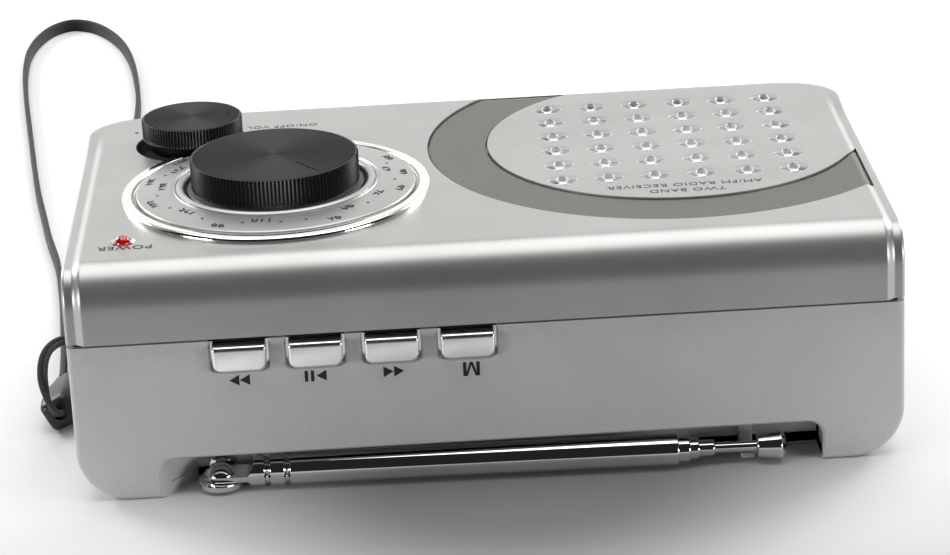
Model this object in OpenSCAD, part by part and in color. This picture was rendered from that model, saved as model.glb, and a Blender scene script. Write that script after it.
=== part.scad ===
// Transistor pocket radio with a telescopic aerial, a tuning dial, a music player and a wrist strap.
// Millimetres. The radio lies on its back: X runs along the case, Y runs away from the button side
// towards the foot side, and Z rises out of the front face. The origin is the middle of the back face.

/* [Case] */
// Width of the case
case_w = 150; // [149:0.5:151]
// Height of the case, from its button side to its foot side
case_h = 91.4; // [91:0.1:92]
// Thickness of the case over its raised front panel
case_t = 44.7; // [44.4:0.1:45]
// Height of the seam between the two covers
seam_z = 30; // [29.8:0.1:30]
// Wall thickness of both covers
wall = 2.2; // [2:0.1:2.4]
// Plan radius of the two foot-side corners
foot_r = 14; // [13:0.5:15]
// Radius of the rear cover's long lower edges
back_r = 9.5; // [9:0.1:10]
// Radius of the front cover's edge above the buttons
brow_r = 6.5; // [6:0.1:7]
// Height of the raised panel over the side strips
step_h = 1; // [0.8:0.1:1.2]

/* [Speaker] */
// X of the speaker's middle
speaker_x = 38.2; // [38:0.1:38.4]
// Y of the speaker's middle
speaker_y = 10.2; // [10:0.1:10.4]
// Outer radius of the speaker's frame
speaker_r = 28.5; // [28:0.1:28.7]
// Distance between neighbouring sound holes
grille_pitch = 8.7; // [8.5:0.05:8.8]
// Number of rows and of columns of sound holes
grille_rows = 6; // [4:1:6]

/* [Dial and knobs] */
// Outer radius of the chrome ring round the dial
dial_r = 29; // [28.5:0.1:29.2]
// Radius of the tuning knob's grip
tuning_r = 15.75; // [15.5:0.05:16]
// Height of the tuning knob's top over the back face
tuning_top = 51.9; // [51.5:0.1:52.3]
// Radius of the volume knob's grip
volume_r = 9.8; // [9.5:0.1:10]
// Height of the volume knob's top over the back face
volume_top = 50.4; // [50:0.1:51]
// Radius of both knobs' shafts
shaft_r = 3; // [2.9:0.05:3]

/* [Buttons] */
// Width of one button
button_w = 9.6; // [9.4:0.1:9.7]
// Height of one button
button_h = 4.9; // [4.8:0.1:5]
// Distance between neighbouring buttons
button_pitch = 13.6; // [13.4:0.1:13.8]
// How far a button stands out of the case
button_proud = 1.5; // [1.2:0.1:1.7]

/* [Aerial] */
// Radius of the outermost tube
aerial_r = 3; // [2.95:0.05:3]
// Radius lost from one tube to the next
aerial_step = 0.5; // [0.5:0.01:0.5]
// Distance from the fold rivet to the outermost tube's open end
aerial_len = 83.3; // [83:0.1:83.6]
// Lean of the stowed aerial out of its channel, in degrees
aerial_lean = 1.4; // [1.2:0.1:1.6]

/* [Hidden] */
$fn = 96;

half_w = case_w / 2;
half_h = case_h / 2;
near_r = 1;
silver = "#c3c5c2";
shell_grey = "#9b9e99";
chrome = "#e6e6e8";
black = "#1a1a1c";
board_green = "#2d6a3c";

// Front cover
seam_gap = 0.6;
rim_w = wall / 2;
strip_top = case_t - step_h;
panel_half = 72.3;
roof_z = strip_top - wall;
trim_c = [39.1, 11];
trim_in = 35.8;
trim_out = 47.1;
trim_t = 1.2;
trim_gap = 0.3;
trim_right = 71.5;
trim_far = 42;
petal_r = 0.95;
petal_off = 1.7;

// Dial and knobs
dial_c = [-37.1, -7.8];
dial_plate_r = 26.2;
dial_ring_in = 26.5;
dial_well_r = 17.2;
plate_z = case_t;
tuning_flange_r = 16.6;
volume_c = [-53.7, 23.2];
volume_well_r = 11.3;
volume_well = 0.8;
volume_skirt_r = 8.6;
volume_skirt_top = case_t + 1.6;
shaft_gap = 0.05;
board_z = 27;
board_t = 1.6;
lamp_c = [-64.5, -31.7];
lamp_r = 1.45;

// Buttons
first_button = -44.4;
button_z = 24.35;
window_gap = 0.5;
flange_back = 43.4;
flange_t = 1.1;

// Aerial channel and aerial
channel_half = 60;
channel_z = 7.5;
channel_y = -half_h + 8.4;
pivot = [-49.5, -42.2];
aerial_z = 3.05;
swivel_z = 2.4;
swivel_nut_r = 1.9;
swivel_nut_t = 1.3;
tube_gap = 0.08;
shoulder = 5.6;
tube_floor = 12;

// Battery bay
bay_x = [-8, 54];
bay_y = [11, 43.5];
bay_top = 18.5;
bay_wall = 1.5;
door_t = 2;
door_gap = 0.2;
plate_t = 0.6;
spring_r = 0.35;
cell_r = 7.2;
cell_len = 50;
cell_nose = 0.9;
cell_z = 9.9;
cell_y = [19.6, 35];
cell_x = [bay_x[1] - plate_t - cell_nose - cell_len, bay_x[0] + plate_t + cell_nose];

// Sockets in the two end walls
jack_z = 14;
earphone_y = 0;
power_y = 14;
usb_y = -14;
usb_z = 13.5;
card_y = 8;
band_y = 24;
band_z = 14.5;
lug_y = -30;
lug_z = [22, 28.5];
lug_x = -half_w + 1.7;

// Fasteners
post_r = 3.4;
case_posts = [[-66.5, -38], [66.5, -38], [-63, 34], [63, 34]];
board_posts = [[-66, -22], [-1, -26], [-1, 34], [-66, 2]];

// Strap route, chosen by hand: the cord falls from the lug to the keeper, and the band leaves the
// keeper, runs behind the case, turns and comes back
cord_r = 1.25;
band_w = 3.2;
band_t = 1.2;
cord_route = [[-73.9, -30, 25.4], [-75.6, -30, 25.6], [-77.4, -29.6, 25.4], [-79, -28.8, 24.4],
              [-80.3, -27.6, 22.8], [-81.3, -26.2, 20.6], [-81.9, -24.7, 18], [-82.2, -23.2, 15.4],
              [-82.2, -21.6, 12.8], [-82.1, -20, 10.4], [-81.8, -18.4, 8.2], [-81.4, -16.8, 6.4],
              [-81, -15, 5], [-80.8, -13, 4.3]];
band_route = [[-81.6, 4, 3.6], [-82.1, 12, 2.9], [-82.8, 22, 2.1], [-83.8, 34, 1.7],
              [-85, 48, 1.6], [-86.5, 62, 1.6], [-88.2, 76, 1.6], [-91.2, 92, 1.6],
              [-93.6, 107, 1.6], [-96.4, 125, 1.6], [-99.1, 146, 1.6], [-102, 170, 1.6],
              [-104.9, 194, 1.6], [-106.8, 212, 1.6], [-107.8, 226, 1.6], [-108, 238, 1.6],
              [-106.8, 250, 1.6], [-103.8, 260, 1.6], [-99, 265.2, 1.6], [-93.4, 262.6, 1.6],
              [-88, 254, 1.6], [-83.6, 241.6, 1.6], [-80.4, 226, 1.6], [-78.2, 208, 1.6],
              [-76.8, 190, 1.6], [-76.4, 172, 1.6], [-76.6, 152, 1.6], [-77, 130, 1.6],
              [-77.6, 108, 1.6], [-78.2, 86, 1.6], [-78.6, 64, 1.6], [-79, 44, 1.6],
              [-79.4, 30, 1.8], [-79.8, 18, 2.5], [-80, 10, 3.1], [-80.1, 4, 3.6]];

// ---- helpers ----

// A box given by its two corners
module box(lo, hi) { translate(lo) cube(hi - lo); }

// A cylinder along Z from z0 to z1
module post(c, r, z0, z1) { translate([c[0], c[1], z0]) cylinder(r = r, h = z1 - z0); }

// A cylinder along X from x0 to x1
module bar_x(x0, x1, y, z, r) { translate([x0, y, z]) rotate([0, 90, 0]) cylinder(r = r, h = x1 - x0); }

// A cylinder along Y from y0 to y1
module bar_y(x, y0, y1, z, r) { translate([x, y0, z]) rotate([-90, 0, 0]) cylinder(r = r, h = y1 - y0); }

// Unit vector along v
function unit(v) = v / norm(v);

// Direction of a route at its point i
function heading(p, i) = unit(p[min(i + 1, len(p) - 1)] - p[max(i - 1, 0)]);

// An eight-sided ring of the section's half width and half height, square to the route at point i
function ring(p, i, a, b) =
    let (t = heading(p, i), s = unit(cross(t, [0, 0, 1])), u = cross(s, t))
    [for (k = [0:7]) p[i] + a * cos(45 * k + 22.5) / cos(22.5) * s
                          + b * sin(45 * k + 22.5) / cos(22.5) * u];

// One closed tube swept along the route p, a wide and b high from its middle
module tube_along(p, a, b) {
    n = len(p);
    pts = [for (i = [0:n - 1]) each ring(p, i, a, b)];
    sides = [for (i = [0:n - 2], k = [0:7])
             [i * 8 + k, i * 8 + (k + 1) % 8, (i + 1) * 8 + (k + 1) % 8, (i + 1) * 8 + k]];
    ends = [[for (k = [7:-1:0]) k], [for (k = [0:7]) (n - 1) * 8 + k]];
    polyhedron(points = pts, faces = concat(sides, ends), convexity = 6);
}

// The case's plan outline, moved inwards by inset
module plan(inset) {
    w = half_w - inset;
    h = half_h - inset;
    rf = foot_r - inset;
    rn = max(near_r - inset, 0.3);
    translate([-w, -h + rn]) square([2 * w, 2 * h - rn - rf]);
    translate([-w + rn, -h]) square([2 * (w - rn), rn + 1]);
    translate([-w + rf, 0]) square([2 * (w - rf), h]);
    for (s = [-1, 1]) {
        translate([s * (w - rf), h - rf]) circle(r = rf);
        translate([s * (w - rn), -h + rn]) circle(r = rn, $fn = 24);
    }
}

// The rear cover's outline seen from the button side, moved inwards by inset
module rear_section(inset) {
    w = half_w - inset;
    r = back_r - inset;
    translate([-w, back_r]) square([2 * w, case_t]);
    translate([-w + r, inset]) square([2 * (w - r), back_r]);
    for (s = [-1, 1]) translate([s * (w - r), back_r]) circle(r = r);
}

// A solid of the rear cover's outer form, moved inwards by inset and cut off at the height top
module rear_form(inset, top) {
    intersection() {
        translate([0, 0, inset]) linear_extrude(height = top - inset) plan(inset);
        translate([0, half_h + 1, 0]) rotate([90, 0, 0])
            linear_extrude(height = case_h + 2) rear_section(inset);
    }
}

// The front cover's outline seen from its end: its near edge and its top stand out by grow
module front_section(grow, inset) {
    r = brow_r - step_h + grow - inset;
    near = -half_h - grow + inset;
    top = strip_top + grow - inset;
    translate([near, 0]) square([case_h + grow - 2 * inset, top - r]);
    translate([near + r, 0]) square([case_h + grow - 2 * inset - r, top]);
    translate([near + r, top - r]) circle(r = r);
}

// A length of the front cover's section between x = -half and x = half
module front_form(half, grow, inset, base) {
    intersection() {
        translate([-half, 0, 0]) rotate([90, 0, 90])
            linear_extrude(height = 2 * half) front_section(grow, inset);
        translate([0, -grow, base]) linear_extrude(height = case_t) plan(inset);
    }
}

// The flat dark trim round the near side of the sound holes
module trim_outline(gap) {
    intersection() {
        difference() {
            translate(trim_c) circle(r = trim_out + gap);
            translate(trim_c) circle(r = trim_in - gap);
        }
        union() {
            translate([-20, -60]) square([trim_right + gap + 20, 60 + trim_c[1]]);
            translate([-20, 0]) square([trim_c[0] + 20, trim_far + gap]);
        }
    }
}

// ---- case ----

module front_cover() {
    color(silver) difference() {
        union() {
            front_form(half_w, 0, 0, seam_z + seam_gap);
            front_form(panel_half, step_h, 0, seam_z + seam_gap);
            translate([0, 0, seam_z]) linear_extrude(height = 2) plan(rim_w);
            for (c = board_posts) post(c, post_r, board_z + board_t, seam_z + 1);
        }
        difference() {
            front_form(half_w - wall, 0, wall, seam_z - 1);
            for (c = concat(case_posts, board_posts)) post(c, post_r, seam_z - 2, case_t);
        }
        translate([0, 0, case_t - trim_t - 0.2]) linear_extrude(height = 5) trim_outline(trim_gap / 2);
        translate([speaker_x, speaker_y, seam_z]) linear_extrude(height = 20) sound_holes();
        post(dial_c, 5, seam_z, case_t + 1);
        post(volume_c, volume_well_r, case_t - volume_well, case_t + 1);
        post(volume_c, 4.5, seam_z, case_t + 1);
        post(lamp_c, lamp_r + 0.3, seam_z, case_t + 1);
        for (c = case_posts) post(c, 1.3, seam_z - 1, seam_z + 8);
        for (c = board_posts) post(c, 1, seam_z - 2, seam_z + 6);
    }
}

// Four small holes in a cross for each place of the square grid
module sound_holes() {
    first = -(grille_rows - 1) / 2;
    for (i = [0:grille_rows - 1], j = [0:grille_rows - 1], k = [0:3])
        translate([(first + i) * grille_pitch + petal_off * cos(90 * k),
                   (first + j) * grille_pitch + petal_off * sin(90 * k)])
            circle(r = petal_r, $fn = 24);
}

module rear_cover() {
    color(shell_grey) difference() {
        rear_form(0, seam_z);
        rear_cavity();
        box([-channel_half, -half_h - 1, -1], [channel_half, channel_y, channel_z]);
        for (i = [0:3]) button_window(first_button + i * button_pitch);
        box([bay_x[0], bay_y[0], -1], [bay_x[1], bay_y[1], bay_top]);
        box([bay_x[0] - 1, bay_y[0] - 1, -1], [bay_x[1] + 1, half_h + 1, door_t]);
        bar_x(-half_w - 1, -half_w + wall + 1, earphone_y, jack_z, 3.1);
        bar_x(-half_w - 1, -half_w + wall + 1, power_y, jack_z, 3.1);
        box([half_w - wall - 1, usb_y - 6.8, usb_z - 3.1], [half_w + 1, usb_y + 6.8, usb_z + 3.1]);
        box([half_w - wall - 1, card_y - 6.2, 10.8], [half_w + 1, card_y + 6.2, 12.6]);
        box([half_w - wall - 1, band_y - 4, band_z - 1.8], [half_w + 1, band_y + 4, band_z + 1.8]);
        box([-half_w - 1, lug_y - 4, lug_z[0]], [-half_w + 4.2, lug_y + 4, lug_z[1]]);
        bar_y(pivot[0], channel_y - 1, channel_y + wall + 1, swivel_z, 1.6);
        bar_y(pivot[0], channel_y + wall - 0.05, channel_y + wall + swivel_nut_t + 0.5, swivel_z,
              swivel_nut_r + 0.15);
        for (c = case_posts) {
            post(c, 1.5, -1, seam_z);
            post(c, 2.9, -1, 6);
        }
    }
    color(shell_grey) aerial_clip();
}

// The hollow of the rear cover: its inner form less the channel, the bay, the posts and the lug
module rear_cavity() {
    difference() {
        rear_form(wall, seam_z + 1);
        box([-channel_half - wall, -half_h - 1, 0], [channel_half + wall, channel_y + wall, channel_z + wall]);
        box([bay_x[0] - bay_wall, bay_y[0] - bay_wall, 0], [bay_x[1] + bay_wall, half_h, bay_top + bay_wall]);
        for (c = case_posts) post(c, post_r + 0.6, 0, seam_z);
        box([-half_w - 1, lug_y - 5.2, lug_z[0] - 1.2], [-half_w + 5.4, lug_y + 5.2, seam_z]);
        for (y = [-19, 26]) post([60.5, y], 2.4, 0, 8.9);
        for (y = [-5, 19]) post([-61, y], 2.4, 0, 8.4);
    }
}

// The window of one button, open to the seam, with round lower corners
module button_window(x) {
    r = 1.2;
    w = button_w + 2 * window_gap;
    translate([x - w / 2, -half_h + wall + 1, 0]) rotate([90, 0, 0]) linear_extrude(height = wall + 3) {
        translate([0, button_z - window_gap + r]) square([w, seam_z]);
        translate([r, button_z - window_gap]) square([w - 2 * r, 4]);
        for (s = [r, w - r]) translate([s, button_z - window_gap + r]) circle(r = r);
    }
}

// The small shelf and rib that hold the stowed aerial's rod in its channel
module aerial_clip() {
    box([45.4, channel_y - 6.2, 0.2], [48, channel_y + 1, 1.1]);
    box([45.4, channel_y - 1, 1.1], [48, channel_y + 1, channel_z + 1]);
}

module speaker_trim_ring() {
    color("#8a8a82") translate([0, 0, case_t - trim_t - 0.2])
        linear_extrude(height = trim_t) trim_outline(-trim_gap / 2);
}

module case_screws() {
    color(chrome) for (c = case_posts) {
        post(c, 2.6, 4, 6);
        post(c, 1.25, 5, seam_z + 7);
    }
}

module board_screws() {
    color(chrome) for (c = board_posts) {
        post(c, 2.4, board_z - 1.4, board_z);
        post(c, 0.95, board_z - 1, seam_z + 5);
    }
}

// ---- dial and controls ----

// The chrome ring, open where the volume knob's well cuts it
module dial_ring() {
    color(chrome) difference() {
        translate([dial_c[0], dial_c[1], plate_z]) rotate_extrude()
            polygon([[dial_ring_in, 0], [dial_r, 0], [dial_r, 0.5], [dial_r - 0.6, 1],
                     [dial_ring_in + 0.5, 1], [dial_ring_in, 0.6]]);
        post(volume_c, volume_well_r, plate_z - 1, plate_z + 2);
    }
}

module dial_plate() {
    color(silver) translate([dial_c[0], dial_c[1], plate_z]) rotate_extrude()
        polygon([[5, 0], [dial_plate_r, 0], [dial_plate_r, 0.8], [dial_plate_r - 0.5, 1.2],
                 [dial_well_r + 0.6, 1.9], [dial_well_r, 1.6], [dial_well_r, 0.4], [5, 0.4]]);
}

// A round knob: a foot, a grip and a bore for its shaft
module knob(c, grip_r, edge_r, base, flange_top, top) {
    translate([c[0], c[1], base]) difference() {
        rotate_extrude() polygon([[0, 0], [edge_r, 0], [edge_r, flange_top - base],
                                  [grip_r, flange_top - base], [grip_r, top - base - 0.5],
                                  [grip_r - 0.5, top - base], [0, top - base]]);
        translate([0, 0, -1]) cylinder(r = shaft_r, h = top - base - 1.5);
    }
}

module tuning_knob() {
    color(black) knob(dial_c, tuning_r, tuning_flange_r, plate_z + 0.7, plate_z + 1.7, tuning_top);
}

module tuning_shaft() {
    color("silver") post(dial_c, shaft_r, board_z + board_t + 3, tuning_top - 2.6);
}

module tuning_capacitor() {
    color("#d8d4c6") difference() {
        union() {
            translate([dial_c[0] - 10.5, dial_c[1] - 10.5, board_z + board_t]) cube([21, 21, 10]);
            post(dial_c, 4.8, board_z + board_t + 9, roof_z - 0.4);
        }
        post(dial_c, shaft_r + shaft_gap, board_z + board_t + 2.5, case_t);
    }
}

module volume_knob() {
    color(black)
        knob(volume_c, volume_r, volume_skirt_r, case_t - volume_well + 0.3, volume_skirt_top, volume_top);
}

module volume_shaft() {
    color("silver") post(volume_c, shaft_r, board_z + board_t + 2, volume_top - 2.5);
}

module volume_control() {
    color("#7a6a48") difference() {
        union() {
            post(volume_c, 8.2, board_z + board_t, board_z + board_t + 7);
            post(volume_c, 4.3, board_z + board_t + 6, roof_z - 0.4);
        }
        post(volume_c, shaft_r + shaft_gap, board_z + board_t + 1.5, case_t);
    }
}

module power_lamp() {
    color("#c01818") {
        post(lamp_c, lamp_r, case_t - 5, case_t - 0.2);
        translate([lamp_c[0], lamp_c[1], case_t - 0.2]) rotate_extrude()
            intersection() {
                circle(r = lamp_r);
                square(lamp_r);
            }
        post(lamp_c, lamp_r + 0.3, case_t - 6, case_t - 4.8 - 0.2);
        for (s = [-0.6, 0.6]) translate([lamp_c[0] + s - 0.2, lamp_c[1] - 0.2, board_z + board_t])
            cube([0.4, 0.4, case_t - 6 - board_z - board_t + 0.5]);
    }
}

// One button: its cap stands out of the case, and its flange stays behind the wall
module button(i) {
    x = first_button + i * button_pitch;
    color(chrome) {
        box([x - button_w / 2, -half_h - button_proud, button_z],
            [x + button_w / 2, -flange_back + flange_t, button_z + button_h]);
        box([x - button_w / 2 - 1.4, -flange_back, button_z - 1],
            [x + button_w / 2 + 1.4, -flange_back + flange_t, button_z + button_h + 0.3]);
    }
}

module rewind_button() { button(0); }
module play_button() { button(1); }
module forward_button() { button(2); }
module mode_button() { button(3); }

module button_switches() {
    y = -half_h + 5.5;
    color("#2a2a2e") for (i = [0:3]) {
        x = first_button + i * button_pitch;
        box([x - 3, y, button_z - 0.6], [x + 3, y + 3.5, button_z + 5.4]);
        bar_y(x, y - 0.9, y + 1, button_z + button_h / 2, 1.6);
    }
}

module button_board() {
    y = -half_h + 9;
    color(board_green) box([first_button - 8, y, 19], [first_button + 3 * button_pitch + 8, y + 1.6, 33]);
}

// ---- electronics ----

module main_board() {
    color(board_green) difference() {
        box([-69, -34.5, board_z], [5, 40, board_z + board_t]);
        for (c = case_posts) post(c, post_r + 1.2, 0, case_t);
        for (c = board_posts) post(c, 1.1, 0, case_t);
    }
}

module tuner_chip() {
    color(black) box([-20, 16, board_z + board_t], [-10, 23, board_z + board_t + 1.8]);
}

module amplifier_chip() {
    color(black) box([-20, -4, board_z + board_t], [-12, 6, board_z + board_t + 2.4]);
}

module smoothing_capacitors() {
    color("#26324a") for (p = [[-8, -14], [-8, -4], [-34, 30]])
        post(p, 3.15, board_z + board_t, board_z + board_t + 9);
}

module ferrite_rod() {
    color("#3a3a3a") bar_x(-36, 50, -26, 17, 5);
}

module ferrite_coil() {
    color("#b5713a") for (x = [-24, 24]) difference() {
        bar_x(x, x + 16, -26, 17, 6.2);
        bar_x(x - 1, x + 17, -26, 17, 5.05);
    }
}

module ferrite_holders() {
    color("#e8e4d8") for (x = [-33, 44]) difference() {
        box([x, -33, wall], [x + 3.5, -19, 18]);
        bar_x(x - 1, x + 5, -26, 17, 5.05);
    }
}

module speaker_frame() {
    color("#6b6e72") translate([speaker_x, speaker_y, 0]) rotate_extrude()
        polygon([[speaker_r - 3, roof_z - 1.5], [speaker_r, roof_z - 1.5], [speaker_r, roof_z - 0.1],
                 [speaker_r - 3.6, roof_z - 0.1], [speaker_r - 3.6, roof_z - 1], [15, 31.4],
                 [9, 31.4], [9, 30.2], [15.6, 30.2]]);
}

module speaker_cone() {
    color("#2c2a28") translate([speaker_x, speaker_y, 0]) rotate_extrude()
        polygon([[0, 35], [6, 33.5], [23.5, roof_z - 1.4], [23.9, roof_z - 0.9], [22.4, roof_z - 0.9],
                 [6, 34.4], [0, 36]]);
}

module speaker_magnet() {
    color("#8f9194") post([speaker_x, speaker_y], 15, 22, 30.2);
}

// ---- battery ----

module battery_door() {
    color(shell_grey) difference() {
        box([bay_x[0] - 1 + door_gap, bay_y[0] - 1 + door_gap, 0],
            [bay_x[1] + 1 - door_gap, half_h, door_t - door_gap]);
        for (i = [0:3]) translate([(bay_x[0] + bay_x[1]) / 2 - 7, 36 + 2 * i, -1]) cube([14, 1, 1.5]);
    }
}

// Two round cells side by side, the first with its nose to +X and the second with its nose to -X
module battery_cells() {
    color("#3b6f4a") for (i = [0, 1]) {
        nose = i == 0 ? cell_x[i] + cell_len - 1 : cell_x[i] - cell_nose;
        bar_x(cell_x[i], cell_x[i] + cell_len, cell_y[i], cell_z, cell_r);
        bar_x(nose, nose + cell_nose + 1, cell_y[i], cell_z, 2.6);
    }
}

// Turns of one conical contact spring, from its wide foot at x to its narrow nose, run further on
function spring_turns(x, y, run) =
    [for (a = [0:30:1080]) let (r = 4.4 - 2 * a / 1080)
     [x + run * a / 1080, y + r * cos(a), cell_z + r * sin(a)]];

// A thin tube along a route whose turns lie round the X axis
module spring_wire(p) {
    n = len(p);
    r = spring_r;
    function lip(i) = let (t = heading(p, i), s = unit(cross(t, [1, 0, 0])), u = cross(s, t))
        [for (k = [0:7]) p[i] + r * cos(45 * k) * s + r * sin(45 * k) * u];
    pts = [for (i = [0:n - 1]) each lip(i)];
    sides = [for (i = [0:n - 2], k = [0:7])
             [i * 8 + k, i * 8 + (k + 1) % 8, (i + 1) * 8 + (k + 1) % 8, (i + 1) * 8 + k]];
    ends = [[for (k = [7:-1:0]) k], [for (k = [0:7]) (n - 1) * 8 + k]];
    polyhedron(points = pts, faces = concat(sides, ends), convexity = 8);
}

module battery_springs() {
    foot = plate_t + spring_r + 0.05;
    run = cell_x[0] - bay_x[0] - foot - spring_r - 0.05;
    color("silver") {
        spring_wire(spring_turns(bay_x[0] + foot, cell_y[0], run));
        spring_wire(spring_turns(bay_x[1] - foot, cell_y[1], -run));
    }
}

module battery_contacts() {
    color("silver") {
        for (y = cell_y) box([bay_x[0], y - 6, 4], [bay_x[0] + plate_t, y + 6, 16]);
        box([bay_x[1] - plate_t, cell_y[0] - 6, 4], [bay_x[1], cell_y[1] + 6, 16]);
    }
}

// ---- aerial ----

// Moves the children from the aerial's own line, where it leaves the rivet along +X, to its place
module on_aerial() {
    translate([pivot[0], pivot[1], aerial_z]) rotate([0, 0, -aerial_lean]) children();
}

// One hollow tube of the aerial with a floor at its inner end
module aerial_tube(x0, x1, r) {
    on_aerial() difference() {
        bar_x(x0, x1, 0, 0, r);
        bar_x(x0 + 2, x1 + 1, 0, 0, r - aerial_step + tube_gap);
    }
}

module aerial_swivel() {
    color(chrome) {
        bar_y(pivot[0], channel_y - 0.8, channel_y - 0.1, swivel_z, 2.3);
        bar_y(pivot[0], channel_y - 0.5, channel_y + wall + 0.2, swivel_z, 1.55);
        bar_y(pivot[0], channel_y + wall + 0.1, channel_y + wall + 0.1 + swivel_nut_t, swivel_z, swivel_nut_r);
        difference() {
            union() {
                post(pivot, 4.2, 0.6, 1.9);
                box([pivot[0] - 2, pivot[1], 0.6], [pivot[0] + 2, channel_y - 0.5, 1.9]);
            }
            post(pivot, 1.05, 0, 3);
        }
    }
}

module aerial_rivet() {
    color(chrome) {
        post(pivot, 1, 0.4, 3.5);
        post(pivot, 1.7, 0.1, 0.6);
        translate([pivot[0], pivot[1], aerial_z]) rotate_extrude() difference() {
            translate([0, -1.2]) circle(r = 2.8);
            translate([-9, -9]) square([9, 18]);
            translate([-1, -9]) square([9, 9.05]);
        }
    }
}

module aerial_tube_1() {
    color(chrome) on_aerial() difference() {
        union() {
            bar_x(shoulder, aerial_len, 0, 0, aerial_r);
            intersection() {
                union() {
                    translate([0, 0, -aerial_r]) cylinder(r = aerial_r, h = aerial_r);
                    bar_x(0, shoulder + 1, 0, 0, aerial_r);
                }
                box([-4, -4, 1.95 - aerial_z], [shoulder + 1, 4, 0]);
            }
        }
        translate([0, 0, -4]) cylinder(r = 1.05, h = 8);
        bar_x(tube_floor, aerial_len + 1, 0, 0, aerial_r - aerial_step + tube_gap);
        for (x = [8.6, 12.2]) translate([x, 0, 0]) rotate([0, 90, 0]) rotate_extrude()
            translate([aerial_r + 0.25, 0]) circle(r = 0.45, $fn = 24);
    }
}

module aerial_tube_2() { color(chrome) aerial_tube(tube_floor + 1, aerial_len + 2.1, aerial_r - aerial_step); }
module aerial_tube_3() { color(chrome) aerial_tube(tube_floor + 4, aerial_len + 3.8, aerial_r - 2 * aerial_step); }
module aerial_tube_4() { color(chrome) aerial_tube(tube_floor + 7, aerial_len + 6.6, aerial_r - 3 * aerial_step); }

module aerial_rod() {
    color(chrome) on_aerial() bar_x(tube_floor + 10, aerial_len + 14.8, 0, 0, aerial_r - 4 * aerial_step);
}

module aerial_tip() {
    color(chrome) on_aerial() translate([aerial_len + 14.3, 0, 0]) rotate([0, 90, 0]) difference() {
        rotate_extrude() polygon([[0, 0], [2, 0], [2.15, 0.3], [2.75, 4.2], [2.6, 4.6], [1.6, 5.3],
                                  [0, 5.6]]);
        translate([0, 0, -1]) cylinder(r = aerial_r - 4 * aerial_step, h = 1.5);
    }
}

// ---- sockets and switch in the end walls ----

// A round socket whose collar fills its hole in the left wall
module round_socket(y, bore_r) {
    difference() {
        union() {
            bar_x(-half_w + 0.2, -half_w + wall + 1, y, jack_z, 3);
            box([-half_w + wall, y - 3.9, jack_z - 4.1], [-58.5, y + 3.9, jack_z + 4]);
        }
        bar_x(-half_w - 1, -60.5, y, jack_z, bore_r);
    }
}

module earphone_socket() { color(black) round_socket(earphone_y, 1.8); }

module power_socket() {
    color(black) {
        round_socket(power_y, 2);
        bar_x(-half_w + 1.5, -60.4, power_y, jack_z, 0.6);
    }
}

module jack_board() {
    color(board_green) box([-72, -7.5, jack_z - 5.5], [-57, 21.5, jack_z - 4.1]);
}

module usb_shell() {
    color(chrome) difference() {
        box([60, usb_y - 6.5, usb_z - 2.8], [half_w - 0.2, usb_y + 6.5, usb_z + 2.8]);
        box([60.5, usb_y - 6.1, usb_z - 2.4], [half_w + 1, usb_y + 6.1, usb_z + 2.4]);
    }
}

module usb_tongue() {
    color("white") box([60.5, usb_y - 5.5, usb_z - 0.1], [half_w - 1.2, usb_y + 5.5, usb_z + 1.9]);
}

module card_socket() {
    color(chrome) difference() {
        box([60.5, card_y - 6.8, 10.7], [half_w - wall, card_y + 6.8, 12.7]);
        box([62, card_y - 6, 11.1], [half_w + 1, card_y + 6, 12.3]);
    }
}

module socket_board() {
    color(board_green) box([57.5, -23, 9], [71.5, 29, 10.6]);
}

module band_switch() {
    color("silver") difference() {
        box([65, band_y - 6, 10.7], [72.5, band_y + 6, 18]);
        box([70, band_y - 4.2, band_z - 1.7], [73, band_y + 4.2, band_z + 1.7]);
    }
}

module band_slider() {
    color(black) difference() {
        box([70.2, band_y - 3.8, band_z - 1.5], [half_w - 0.2, band_y + 0.2, band_z + 1.5]);
        for (y = [-3.1, -1.9, -0.7]) box([half_w - 0.6, band_y + y, band_z - 2], [half_w, band_y + y + 0.5, band_z + 2]);
    }
}

// ---- strap ----

module strap_bar() {
    color(chrome) post([lug_x, lug_y], 0.9, lug_z[0], lug_z[1]);
}

module strap_cord() { color(black) tube_along(cord_route, cord_r, cord_r); }

module strap_keeper() {
    color(black) translate([-80.8, -13, 4]) rotate([-90, 0, 0]) rotate_extrude()
        polygon([[0, 0], [2.4, 0], [3.4, 1.4], [3.9, 4], [4, 8], [3.8, 15], [3, 17], [0, 17]]);
}

module strap_band() { color(black) tube_along(band_route, band_t / 2, band_w / 2); }

front_cover();
rear_cover();
speaker_trim_ring();
dial_ring();
dial_plate();
tuning_knob();
tuning_shaft();
tuning_capacitor();
volume_knob();
volume_shaft();
volume_control();
power_lamp();
rewind_button();
play_button();
forward_button();
mode_button();
button_switches();
button_board();
main_board();
tuner_chip();
amplifier_chip();
smoothing_capacitors();
ferrite_rod();
ferrite_coil();
ferrite_holders();
speaker_frame();
speaker_cone();
speaker_magnet();
battery_door();
battery_cells();
battery_springs();
battery_contacts();
aerial_swivel();
aerial_rivet();
aerial_tube_1();
aerial_tube_2();
aerial_tube_3();
aerial_tube_4();
aerial_rod();
aerial_tip();
case_screws();
board_screws();
earphone_socket();
power_socket();
jack_board();
usb_shell();
usb_tongue();
card_socket();
socket_board();
band_switch();
band_slider();
strap_bar();
strap_cord();
strap_keeper();
strap_band();
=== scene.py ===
"""The looks of a transistor pocket radio: silver case, tuning dial, music keys, aerial and wrist strap.

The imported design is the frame: every place comes from its nodes' boxes. Shapes are worked out with numpy in
millimetres, as points on a grid of two parameters, and become metres only when a mesh is written.
X runs along the case, Y from the key side to the foot side, and Z out of the front face.
"""
import logging
import math
from collections.abc import Sequence
from dataclasses import dataclass, field
from enum import Enum

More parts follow.
